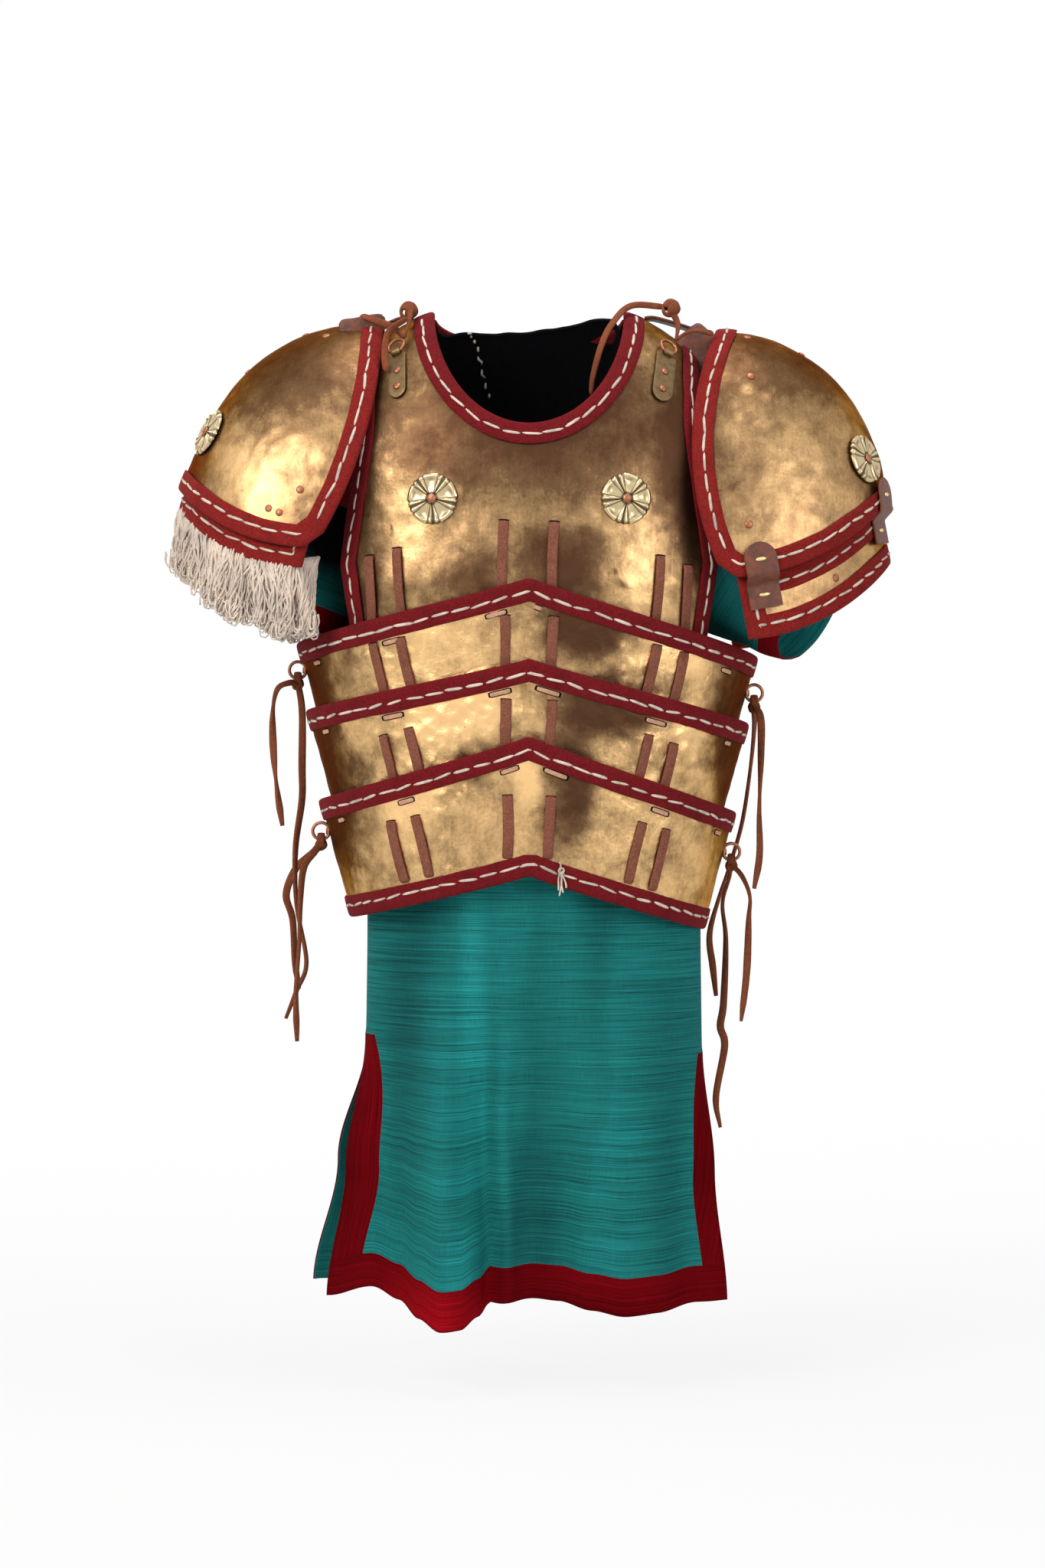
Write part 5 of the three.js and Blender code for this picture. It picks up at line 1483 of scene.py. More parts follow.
def make_shoulder_tabs():
    for side in SIDES:
        path, normal, up, eye, centre, across = tab_frame(side)
        normals = [normal_on(torso_level, p) for p in path]
        lifted = [p + n * (TAB_LOW + TAB_THICKNESS / 2) for p, n in zip(path, normals)]
        radius = TAB_WIDTH[side] / 2
        bm = bmesh.new()
        add_strip(bm, lifted, normals, squircle(TAB_WIDTH[side], TAB_THICKNESS, 16, 5.0),
                  lambda t: half_round((1 - t) * TAB_LENGTH[side] / radius, 0.12), thins=False)
        add_ring(bm, eye, across, (EYE_BORE + EYE_OUTER) / 2, squircle(EYE_OUTER - EYE_BORE, EYE_LENGTH, 10, 3.5), 26)
        finish_tubes(bm, f"shoulder_tab_strap_{side}", "torso", "dull_brass", f"shoulder_tab_{side}", 50)
        seats = [lifted[round(share * (len(lifted) - 1))] for share in TAB_RIVET_SHARES]
        make_rivets(f"shoulder_tab_rivets_{side}", "torso",
                    [(seat + normal * TAB_THICKNESS / 2, normal, RIVET_RADIUS) for seat in seats], TAB_RIVET_HEIGHT)
        make_ring(f"shoulder_copper_ring_{side}", f"ring_shoulder_{side}", centre, across.cross(up).normalized(),
                  f"shoulder_ring_{side}")


SHOULDER_LACES = {
    "right": {"over": [(-112, -66, -16), (-108, -56, 0), (-107, -40, 14), (-109, -22, 20)],
              "to_pauldron": [(-112, -66, -16), (-122, -58, -6), (-138, -46, 2), (-152, -34, 8)],
              "tail": [(-110, -60, 2), (-126, -72, -12), (-129, -80, -34), (-127, -84, -48)]},
    "left": {"over": [(132, -58, -17), (134, -48, -2), (128, -40, 12), (122, -34, 16)],
             "to_pauldron": [(132, -58, -17), (142, -56, -10), (152, -52, -8), (166, -46, -10)],
             "tail": [(122, -34, 16), (92, -40, 16), (74, -66, -4), (64, -84, -26), (57, -84, -52), (55, -78, -68)]},
}
SHOULDER_KNOTS = {"right": (-109, -38, 12), "left": (128, -40, 14)}
KNOT_TURNS = [((0.3, 1, 0.2), 6.6 * MM), ((1, 0.2, 0.5), 5.4 * MM)]
LACE_CORD_WIDTH = 6.2 * MM
LACE_CORD_THICKNESS = 3.0 * MM
LACE_CORD_TWIST = 1.6


def make_shoulder_laces():
    """Laces that tie each shoulder; the one to the pauldron rides on no body and has its place baked into its mesh"""
    for side in SIDES:
        for name, points in SHOULDER_LACES[side].items():
            path = resample(curved([Vector(p) * MM for p in points], 10), 2.6 * MM)
            bends = name == "to_pauldron"
            cord = make_strip(f"shoulder_lace_{name}_{side}", None if bends else "torso", "brown_suede", path,
                              carried_normals(path, X, lambda t: LACE_CORD_TWIST * t),
                              squircle(LACE_CORD_WIDTH, LACE_CORD_THICKNESS, 10, 3.0), rounded_ends(0.05, 0.6))
            if bends:
                ends = [tuple(Vector(p) * MM) for p in (points[0], points[2])]
                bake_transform(cord)
            reaches(path)[-1]
        bm = bmesh.new()
        knot = Vector(SHOULDER_KNOTS[side]) * MM
        for axis, radius in KNOT_TURNS:
            add_knot(bm, knot, Vector(axis).normalized(), radius, LACE_CORD_WIDTH, LACE_CORD_THICKNESS, 1.3)
        finish_tubes(bm, f"shoulder_knot_{side}", "torso", "brown_suede")


STRAP_WIDTH, STRAP_THICKNESS = 26 * MM, 3 * MM
FLAP_HEIGHT = {"right": 17 * MM, "left": 40 * MM}
SHOULDER_FLAPS = {"right": [(130, -34, 2), (144, -36, 0), (158, -37, -3), (172, -36, -4)],
                  "left": [(138, -30, -10), (148, -33, -19), (158, -35, -29), (168, -34, -38)]}


def make_shoulder_straps():
    """A strap over the ridge at each shoulder, and a flap of leather that stands beside it"""
    for side, sign in SIDES.items():
        low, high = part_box(f"shoulder_strap_{side}")
        inner, outer = (low.x, high.x) if sign > 0 else (high.x, low.x)
        top, bottom = high.z - STRAP_THICKNESS / 2, low.z + STRAP_THICKNESS / 2
        knee = inner + sign * STRAP_WIDTH / 2
        strap = [(inner, 0, top), (knee, 0, top - 1 * MM), (lerp(knee, outer, 0.5), 0, lerp(top, bottom, 0.5)),
                 (outer, 0, bottom)]
        flap = [Vector((sign * x, y, z)) * MM for x, y, z in SHOULDER_FLAPS[side]]
        for name, line, up, section, taper, replaced in (
                ("leather", curved(strap, 12), Z, squircle(STRAP_WIDTH, STRAP_THICKNESS, 18, 5.0),
                 rounded_ends(0.06, 0.8), f"shoulder_strap_{side}"),
                ("flap", curved(flap, 10), -Y, squircle(FLAP_HEIGHT[side], STRAP_THICKNESS, 16, 4.0),
                 rounded_ends(0.16, 0.5), None)):
            path = resample(line, 2.5 * MM)
            make_strip(f"shoulder_{name}_{side}", "torso", "tab_leather", path, [up] * len(path), section, taper,
                       replaced)


# Pauldrons, arm plates, arm tabs and rivets

# Rivets of the domes as (angle, swing) in degrees with a radius in mm, and of the arm plates as (swing, drop in mm)
PAULDRON_RIVETS = {
    "right": [(-2, -19.5, 3.6), (13.8, -74.7, 3.6), (4, -3, 3.4), (22, -4, 3.4), (51.2, -69.6, 3.4), (47, -74, 3.4),
              (-2, 19.5, 3.6), (13.8, 74, 3.6)],
    "left": [(7.9, -36.9, 3.8), (24.3, -77, 3.8), (6.4, -13.4, 3.6), (20, -4, 3.4), (7.9, 36.9, 3.8), (24, 76, 3.8)],
}
ARM_RIVETS = {"right": [], "left": [(-50, 30), (-12, 30)]}
DOME_SEED, DOME_BINDING_SEED, ARM_SEED, ARM_BINDING_SEED = 21, 30, 41, 50


def make_pauldrons():
    for side, dome in DOMES.items():
        body = f"pauldron_{side}_assembly"
        limit = math.pi / 2 - POLE_MARGIN

        def place(across, up):
            swing = lerp(-limit, limit, across)
            return dome.point(lerp(dome.lower(swing), dome.crown(swing), up), swing)

        make_sheet(f"pauldron_sheet_{side}", body, "shoulder_bronze", f"pauldron_{side}", DOME_GRID, place,
                   lambda p: dome.hub, hammered(DOME_SEED + dome.sign))
        middle = dome.point(lerp(dome.lower(0), dome.crown(0), 0.5), 0)
        bind_edge(f"pauldron_{side}", body, level_frames(dome.level, dome.edge(), middle, closed=True),
                  f"pauldron_{side}_binding", True, DOME_BINDING_GROW, DOME_BINDING_SEED + dome.sign)
        rivets = []
        for angle, swing, radius in PAULDRON_RIVETS[side]:
            seat = dome.point(angle, math.radians(swing))
            normal = normal_on(dome.level, seat)
            rivets.append((seat + normal * PLATE_HALF, normal, radius * MM))
        make_rivets(f"pauldron_rivets_{side}", body, rivets)


def make_arm_plates():
    for side, band in BANDS.items():
        body = f"arm_plate_{side}_assembly"

        def place(across, up):
            return band.at(lerp(-band.swing, band.swing, across), lerp(band.bottom, band.top, up))

        make_sheet(f"arm_sheet_{side}", body, "shoulder_bronze", f"arm_plate_{side}", ARM_GRID, place,
                   lambda p: band.dome.hub, hammered(ARM_SEED + band.dome.sign))
        outline = band.outline()
        frames = edge_frames([band.at(*spot) for spot in outline], [band.out(swing) for swing, _ in outline],
                             band.at(0, (band.top + band.bottom) / 2), True, lambda i, p: band.seat(p, *outline[i]))
        bind_edge(f"arm_plate_{side}", body, frames, f"arm_plate_{side}_binding", True,
                  seed=ARM_BINDING_SEED + band.dome.sign)
        if ARM_RIVETS[side]:
            spots = [(math.radians(swing), drop * MM) for swing, drop in ARM_RIVETS[side]]
            make_rivets(f"arm_rivets_{side}", body,
                        [(band.at(*spot, PLATE_HALF), band.out(spot[0]), RIVET_RADIUS) for spot in spots])


ARM_TABS = {"front": -78, "outer": -20}
ARM_TAB_WIDTH, ARM_TAB_THICKNESS = 30 * MM, 2.5 * MM
ARM_TAB_ABOVE, ARM_TAB_BELOW = 26 * MM, 32 * MM
ARM_TAB_OVER, ARM_TAB_NEAR = 6.15 * MM, 4.65 * MM
ARM_TAB_STAPLES = (9, 27)
ARM_TAB_STAPLE_REACH, ARM_TAB_STAPLE_WIDTH, ARM_TAB_STAPLE_HEIGHT = 5 * MM, 3.4 * MM, 1.6 * MM


def make_arm_tabs():
    """Leather tabs from the left dome onto its arm plate, each with two staples"""
    band = BANDS["left"]
    dome = band.dome
    body = "pauldron_left_assembly"
    tab_length = ARM_TAB_ABOVE + ARM_TAB_BELOW
    for name, degrees in ARM_TABS.items():
        swing = math.radians(degrees)
        path, normals = [], []
        for drop in spread(34, -ARM_TAB_ABOVE, ARM_TAB_BELOW):
            ease = smooth_step((drop - 2 * MM) / (10 * MM))
            seat = band.at(swing, drop, lerp(band.inset + ARM_TAB_OVER, ARM_TAB_NEAR, ease))
            normal = band.out(swing)
            if drop < 0:
                on_dome = seat_on(dome.level, seat)
                normal = normal_on(dome.level, on_dome)
                seat = on_dome + normal * ARM_TAB_OVER
            path.append(seat)
            normals.append(normal)
        bm = bmesh.new()
        add_strip(bm, path, normals, squircle(ARM_TAB_WIDTH, ARM_TAB_THICKNESS, 20, 5.0),
                  lambda t: half_round(t * tab_length / (ARM_TAB_WIDTH / 2), 0.15), thins=False)
        finish_tubes(bm, f"arm_tab_{name}", body, "tab_leather", f"arm_tab_{name}_left", 50)
        bm = bmesh.new()
        frames = along_path(path, normals)
        for index in ARM_TAB_STAPLES:
            point, side, up = frames[index]
            line = [point + side * (t * ARM_TAB_STAPLE_REACH) + up * ARM_TAB_THICKNESS * 0.55
                    for t in spread(4, -1, 1)]
            section = squircle(ARM_TAB_STAPLE_WIDTH, ARM_TAB_STAPLE_HEIGHT, 8, 2.6)
            add_strip(bm, line, [up] * len(line), section, rounded_ends(0.2, 0.4))
        finish_tubes(bm, f"arm_tab_staples_{name}", body, "bright_brass")


# Rosettes: five broad petals with a pair of ribs between them

ROSETTE_RADIUS, ROSETTE_HEIGHT = 22.5 * MM, 5 * MM
ROSETTE_PETALS = 5
ROSETTE_GRID = (160, 30)
ROSETTE_WALL = 0.08
ROSETTE_RIVET, ROSETTE_RIVET_HEIGHT, ROSETTE_RIVET_WEAR = 4.3 * MM, 1.8 * MM, 0.35
BREAST_ROSETTE = (85 * MM, -165 * MM)
PAULDRON_ROSETTES = {"right": (43, -20), "left": (50, -27)}


def rosette_height(reach, angle):
    """Height share of the pressed rosette at a share of its radius"""
    beat = math.cos(ROSETTE_PETALS * angle)
    between = max(0.0, -beat)
    petal = max(0.0, beat * 1.1 + 0.25)
    hollow = math.exp(-((reach - 0.64) / 0.22) ** 2) * petal * 0.26
    rim = math.exp(-((reach - 0.9) / 0.09) ** 2) * 0.34 * (0.6 + petal * 0.5)
    ribs = between ** 0.6 * (0.45 + 0.35 * math.cos(ROSETTE_PETALS * angle * 4 + math.pi))
    body = 0.5 * math.sqrt(max(0.0, 1 - reach ** 3))
    dome = 0.3 * math.exp(-(reach / 0.3) ** 2)
    return body + rim + ribs * 0.5 * smooth_step(reach / 0.3) * smooth_step((1.04 - reach) / 0.12) - hollow + dome


def rosette_groove(reach, angle):
    """How much darker a place is painted: the lines between ribs, round each petal and at the rivet, and painted shade
    where each petal's dish rises to its rim
    """
    beat = math.cos(ROSETTE_PETALS * angle)
    ribs = max(0.0, -beat) ** 0.6 * (0.5 - 0.5 * math.cos(ROSETTE_PETALS * angle * 4 + math.pi))
    outline = math.exp(-((beat + 0.12) / 0.16) ** 2)
    shade = math.exp(-((reach - 0.76) / 0.08) ** 2) * max(0.0, beat) * 0.45
    return max(ribs, outline * 0.9, shade) * smooth_step(reach / 0.3) + math.exp(-((reach - 0.22) / 0.05) ** 2) * 0.8


def rosette_rim(angle):
    beat = math.cos(ROSETTE_PETALS * angle)
    notch = math.exp(-((beat + 0.35) / 0.22) ** 2) * 0.05
    split = math.exp(-((beat + 1.0) / 0.05) ** 2) * 0.03
    return 1 - notch - split


def make_rosette(name, body, level, point, lift, turn):
    """A pressed disc with a scalloped rim and a rivet, set on a surface"""
    seat = seat_on(level, point)
    normal = normal_on(level, seat)
    place = Matrix.Translation(seat + normal * lift) @ (
        Z.rotation_difference(normal).to_matrix() @ Matrix.Rotation(turn, 3, Z)).to_4x4()

    def at(across, up):
        angle = across * 2 * math.pi
        if up > 1 - ROSETTE_WALL:
            reach, height = 1.0, 0.35 * (1 - up) / ROSETTE_WALL
        else:
            reach = max(1e-4, up / (1 - ROSETTE_WALL))
            height = rosette_height(reach, angle) * 0.8 + 0.16
        radius = ROSETTE_RADIUS * reach * rosette_rim(angle)
        return place @ Vector((radius * math.cos(angle), radius * math.sin(angle), height * ROSETTE_HEIGHT))

    bm = bmesh.new()
    add_grid(bm, *ROSETTE_GRID, at)
    close_tubes(bm)
    # Darkening of each point, painted shade included, read by the rosette brass
    hollow = bm.verts.layers.float.new("hollow")
    flat = place.inverted()
    for vert in bm.verts:
        local = flat @ vert.co
        vert[hollow] = rosette_groove(math.hypot(local.x, local.y) / ROSETTE_RADIUS, math.atan2(local.y, local.x))
    finish_piece(bm, f"{name}_disc", body, "rosette_brass", name, smooth_angle=50)
    bm = bmesh.new()
    crown = place @ Vector((0, 0, ROSETTE_HEIGHT * 0.86))
    add_rivet(bm, crown, normal, ROSETTE_RIVET, ROSETTE_RIVET_HEIGHT, 18)
    rng = random.Random(name)
    for vert in bm.verts:
        vert.co += normal * rng.uniform(-ROSETTE_RIVET_WEAR, ROSETTE_RIVET_WEAR) * MM
    finish_piece(bm, f"{name}_rivet", body, "copper", smooth_angle=0)


def make_rosettes():
    for side, sign in SIDES.items():
        x, z = BREAST_ROSETTE
        make_rosette(f"breast_rosette_{side}", "torso", torso_level, torso_point("front", sign * x, z), 0.9 * MM,
                     0.25 + sign * 0.1)
        dome = DOMES[side]
        angle, swing = PAULDRON_ROSETTES[side]
        make_rosette(f"pauldron_rosette_{side}", f"pauldron_{side}_assembly", dome.level,
                     dome.point(angle, math.radians(swing)), 0.6 * MM, 0.5)


# Wool fringe

FRINGE_LENGTH = 62 * MM
FRINGE_SWING = math.radians(84)
FRINGE_TUFTS = 26
FRINGE_RETURN = 0.34
FRINGE_SEED = 7
CURLED_SHARE = 0.35
# How a curled tip goes on, as (share of its sideways reach, rise in mm)
WOOL_CURL = [(0.6, -2.5), (1.4, -1.5), (1.7, 3.0), (1.5, 10.0)]


def fringe_point(swing, drop, outward):
    """The fringe leaves the arm plate along the arm and soon hangs straight down; past its end it turns back"""
    band = BANDS["right"]
    past = max(0.0, -FRINGE_SWING - swing)
    top = band.at(max(swing, -FRINGE_SWING), band.bottom - 4 * MM, outward)
    turned = min(drop, 9 * MM)
    return top + band.down * turned - Z * (drop - turned) + (X * 66 + Y * 56 + Z * 12) * MM * past


def make_fringe():
    """Strands of wool in tufts, each strand gathered into its tuft, swaying and at times curled at its tip"""
    wool = bpy.context.scene.cuirass_wool
    rng = random.Random(FRINGE_SEED)
    first = -FRINGE_SWING - FRINGE_RETURN
    pitch = (FRINGE_SWING - first) / FRINGE_TUFTS

    def held(swing):
        return max(first, min(FRINGE_SWING, swing))

    bm = bmesh.new()
    for _ in range(wool.strands):
        tuft = rng.randrange(FRINGE_TUFTS)
        centre = first + pitch * (tuft + 0.5)
        tuft_rng = random.Random(tuft)
        lean = tuft_rng.uniform(-0.9, 0.9) * pitch
        length = FRINGE_LENGTH * tuft_rng.uniform(0.86, 1.02) * (1 + 0.1 * max(0.0, -centre / FRINGE_SWING))
        swing = held(centre + rng.gauss(0, 0.42) * pitch)
        gather = rng.gauss(0, 0.3) * pitch
        layer = (rng.uniform(-5.0, 4.0) + tuft_rng.uniform(-1.5, 1.5)) * MM
        run = length * rng.uniform(0.82, 1.03)
        curl, beat = rng.uniform(0, 6.3), rng.uniform(7, 16)
        sway = rng.uniform(1.4, 4.4) * MM
        path = []
        for t in spread(13, 0, 1):
            at_swing = held(lerp(swing, centre + gather + lean * t, smooth_step(t * 1.6)))
            belly = layer * (0.5 + 0.8 * math.sin(min(1.0, t * 1.4) * math.pi * 0.6))
            turn = t * beat + curl
            path.append(fringe_point(at_swing, run * t, belly) + (X * math.sin(turn) + Y * math.cos(turn)) * sway * t)
        if rng.random() < CURLED_SHARE:
            tip = path[-1]
            side = X * rng.choice((-1, 1)) * rng.uniform(2.0, 5.0) * MM
            path += [tip + side * out + Z * rise * MM for out, rise in WOOL_CURL]
        radius = wool.radius * rng.uniform(0.75, 1.15)
        add_strip(bm, path, carried_normals(path, X), squircle(radius * 2, radius * 2, 4, 2.0))
    finish_tubes(bm, "fringe_strands", "arm_plate_right_assembly", "cream_wool", "wool_fringe")


# Lining, tunic and sleeves

LINING_INSET, LINING_THICKNESS, LINING_HEIGHT = 6.0 * MM, 2.4 * MM, 360 * MM
LINING_GRID, LINING_PLATE_COLUMNS = (60, 40), 84
# The seam's ends as shares (across, up), the points that it is cut into, and those of each stitch and its gap
SEAM_START, SEAM_END = (0.24, 0.995), (0.34, 0.82)
SEAM_STEPS, SEAM_STITCH, SEAM_PITCH = 40, 4, 5
LINING_TOP = [(-88, -2), (-60, 2), (-10, 3), (34, 8), (66, 14), (82, 12), (88, 6)]


def make_lining():
    """Felt inside the back plate, standing a little above its neck, with a seam of long stitches"""
    columns = LINING_PLATE_COLUMNS
    plate = torso_plate_place("back", columns, trimmed=False)

    def place(across, up):
        seat = plate(round(lerp(0.14, 0.86, across) * columns) / columns, min(1.0, up))
        inside = seat - normal_on(torso_level, seat) * (LINING_INSET + noise.noise(seat * 30) * 1.2 * MM)
        crease = noise.noise(Vector((seat.x * 22 + seat.z * 8, 4.0, seat.z * 6))) * 3.0 * MM
        inside += -Y * max(0.0, crease) * smooth_step((up - 0.3) / 0.2)
        neck = smooth_step((NECK_HALF_WIDTH - abs(seat.x)) / (10 * MM)) * smooth_step((up - 0.84) / 0.16)
        top = through(LINING_TOP, seat.x / MM) * MM + noise.noise(seat * 60) * 1.5 * MM
        rise = max(0.0, top - inside.z) * neck
        return inside + Z * rise - Y * rise * 0.6

    bm = bmesh.new()
    add_grid(bm, *LINING_GRID, place)
    bmesh.ops.remove_doubles(bm, verts=bm.verts, dist=1e-6)
    finish_cloth(bm, "lining_felt", "felt_lining", "black_felt", LINING_THICKNESS, LINING_HEIGHT,
                 rests_on=["back_plate_sheet"])
    bm = bmesh.new()
    seam = [place(lerp(SEAM_START[0], SEAM_END[0], t), lerp(SEAM_START[1], SEAM_END[1], t)) - Y * 2.2 * MM
            for t in spread(SEAM_STEPS, 0, 1)]
    for start in range(0, SEAM_STEPS - 2, SEAM_PITCH):
        add_stitch(bm, seam[start:start + SEAM_STITCH], [-Y] * SEAM_STITCH, bpy.context.scene.cuirass_thread.width)
    finish_tubes(bm, "lining_stitches", "torso", "thread")


TUNIC_TOP, TUNIC_HEM = -110 * MM, -872 * MM
TUNIC_SIDES = {
    "front": {-1: [(-876, 181), (-760, 164), (-650, 148), (-540, 147), (-110, 146)],
              1: [(-876, 177), (-760, 166), (-660, 157), (-540, 156), (-400, 150), (-110, 146)]},
    "back": {-1: [(-876, 199), (-760, 176), (-650, 148), (-540, 147), (-110, 146)],
             1: [(-876, 180), (-760, 168), (-660, 156), (-540, 155), (-400, 149), (-110, 146)]},
}
TUNIC_DEPTHS = {"front": (106, 104), "back": (94, 92)}
SLIT_TOP = {-1: -646 * MM, 1: -662 * MM}
SLIT_TURN = {"front": 36, "back": 22}
FOLDS = {
    "front": [(-78, 24, 24), (-40, -16, 13), (-22, 11, 10), (18, -11, 26), (88, 13, 40), (138, -9, 20),
              (-124, -9, 18)],
    "back": [(-110, 10, 30), (-40, -9, 26), (30, 12, 30), (100, -8, 26), (150, 7, 18)],
}
HEM_WAVE = {
    "front": [(-181, -2), (-141, 8), (-115, -3), (-97, -17), (-78, -27), (-62, -26), (-47, -17), (-33, -4), (0, 0),
              (26, -3), (56, -10), (85, -15), (114, -13), (150, -7), (177, -6)],
    "back": [(-199, -2), (-150, -8), (-90, 2), (-30, -6), (40, 3), (110, -6), (180, -1)],
}
CLOTH_WAIST = -470 * MM
TUNIC_COLUMNS, TUNIC_ROWS = 132, 128
BAND_ROWS, WAIST_ROW = 8, 96
SLIT_COLUMNS = 6
WIDE_SLIT_SHARE = {"front": 1.5, "back": 1.0}
BAND_LIFT = 0.6 * MM


def fold_depth(face, x, z):
    """Outward push of the hanging folds, which grow from the waist to the hem"""
    down = smooth_step((CLOTH_WAIST - 30 * MM - z) / (300 * MM))
    drift = noise.noise(Vector((0, 0, z * 9))) * 7
    push = 0.0
    for centre, depth, width in FOLDS[face]:
        push += depth * math.exp(-(((x / MM) - centre - drift) / width) ** 2)
    ripple = noise.noise(Vector((x * 26, 3.1, z * 4))) * 2.2 + noise.noise(Vector((x * 70, 8.2, z * 9))) * 0.7
    return (push * down + ripple * (0.25 + 0.75 * down)) * MM


class TunicPanel:
    """The front or back of the tunic, cut along even distances round its section at each height"""

    def __init__(self, face):
        self.face = face
        self.cloth = bpy.context.scene.cuirass_cloth
        self.rows = {}

    def section(self, z, samples=240):
        spans = TUNIC_SIDES[self.face]
        high, low = TUNIC_DEPTHS[self.face]
        depth = lerp(low, high, (z - TUNIC_HEM) / (TUNIC_TOP - TUNIC_HEM)) * MM
        line = []
        for share in spread(samples, -1, 1):
            sign = -1 if share < 0 else 1
            slit = smooth_step((SLIT_TOP[sign] + 40 * MM - z) / (170 * MM))
            reach = math.radians(90 - SLIT_TURN[self.face] * slit)
            angle = share * reach
            x = through(spans[sign], z / MM) * MM * math.sin(angle) / math.sin(reach)
            roll = math.cos(angle)
            away = depth * roll ** 0.92 + fold_depth(self.face, x, z) * min(1.0, roll * 2.2)
            line.append(Vector((x, FACING[self.face] * away, z)))
        return line

    def height(self, up):
        band, waist = BAND_ROWS / TUNIC_ROWS, WAIST_ROW / TUNIC_ROWS
        if up < band:
            return TUNIC_HEM + self.cloth.hem_band * up / band
        if up < waist:
            return lerp(TUNIC_HEM + self.cloth.hem_band, CLOTH_WAIST, (up - band) / (waist - band))
        return lerp(CLOTH_WAIST, TUNIC_TOP, (up - waist) / (1 - waist))

    def row(self, up):
        key = round(up * TUNIC_ROWS)
        if key not in self.rows:
            line = self.section(self.height(up))
            self.rows[key] = (line, reaches(line))
        return self.rows[key]

    def along(self, across, up):
        """Distance round the section from the panel's left edge"""
        whole = self.row(up)[1][-1]
        edge = SLIT_COLUMNS / TUNIC_COLUMNS
        band = self.cloth.slit_band
        wide = band * WIDE_SLIT_SHARE[self.face]
        if across < edge:
            return wide * across / edge
        if across > 1 - edge:
            return whole - band * (1 - across) / edge
        return lerp(wide, whole - band, (across - edge) / (1 - 2 * edge))

    def place(self, across, up):
        line, reach = self.row(up)
        k, share = span_at(reach, self.along(across, up))
        point = line[k].lerp(line[k + 1], share)
        fade = max(0.0, 1 - (point.z - TUNIC_HEM) / (260 * MM)) ** 1.5
        point.z += through(HEM_WAVE[self.face], point.x / MM) * MM * fade
        return point

    def is_hem(self, up):
        return up * TUNIC_ROWS < BAND_ROWS

    def is_band(self, across, up):
        sign = -1 if across < 0.5 else 1
        beside = min(across, 1 - across) * TUNIC_COLUMNS < SLIT_COLUMNS
        return self.is_hem(up) or beside and self.height(up) < SLIT_TOP[sign] + 3 * MM

    def map_place(self, corner, middle):
        """Place on the cloth; beside a slit the weft runs along the band"""
        place = (self.along(corner.x, corner.y), self.height(corner.y))
        return place[::-1] if self.is_band(middle.x, middle.y) and not self.is_hem(middle.y) else place


def make_tunic():
    """The tunic's front and back, with their contrasting bands raised a little from the cloth"""
    thickness = bpy.context.scene.cuirass_cloth.thickness
    for face in FACING:
        panel = TunicPanel(face)
        bm = bmesh.new()
        bands = add_cloth_grid(bm, TUNIC_COLUMNS, TUNIC_ROWS, panel.place, panel.map_place, panel.is_band)
        bm.normal_update()
        for vert, push in [(vert, vert.normal.copy()) for vert in bands]:
            vert.co += push * math.copysign(BAND_LIFT, push.y * FACING[face])
        sheet = finish_cloth(bm, f"tunic_{face}_panel", "tunic", ("teal_silk", "red_silk"), thickness,
                             TUNIC_TOP - TUNIC_HEM)
        if face == "back":
            sheet.modifiers["Wall"].material_offset = -1


# Each sleeve's start, end and half girths in mm, and how much its cuff slants
SLEEVES = {
    "right": dict(start=(-163, 0, -168), end=(-203, 0, -274), across=40, deep=48, slant=0.0),
    "left": dict(start=(168, 0, -205), end=(258, 0, -259), across=50, deep=54, slant=0.2),
}
SLEEVE_GRID = (72, 36)


def make_sleeves():
    cloth = bpy.context.scene.cuirass_cloth
    columns, rows = SLEEVE_GRID
    for side, spec in SLEEVES.items():
        start, end = Vector(spec["start"]) * MM, Vector(spec["end"]) * MM
        run = (end - start).length
        across_axis = (end - start).cross(Y).normalized()
        girth = math.pi * (spec["across"] + spec["deep"]) * MM
        cuff_rows = max(2, round(cloth.cuff / run * rows))

        def place(across, up):
            angle = across * 2 * math.pi
            t = up * (1 + spec["slant"] * math.sin(angle) * up)
            wrinkle = 1 + noise.noise(Vector((math.cos(angle) * 2.2, math.sin(angle) * 2.2, t * 3.0))) * 0.07
            size = wrinkle * (1.0 + spec["slant"] * 1.8 * (1 - t)) * MM
            return (start.lerp(end, t) + across_axis * spec["across"] * size * math.cos(angle)
                    + Y * spec["deep"] * size * math.sin(angle))

        bm = bmesh.new()
        add_cloth_grid(bm, columns, rows, place, lambda corner, _: (corner.x * girth, corner.y * run),
                       lambda across, up: up * rows > rows - cuff_rows)
        bmesh.ops.remove_doubles(bm, verts=bm.verts, dist=1e-6)
        sleeve = finish_cloth(bm, f"sleeve_cloth_{side}", f"sleeve_{side}", ("teal_silk", "red_silk"),
                              cloth.thickness, run)
        sleeve.modifiers["Wall"].material_offset = -1


# Camera and stage

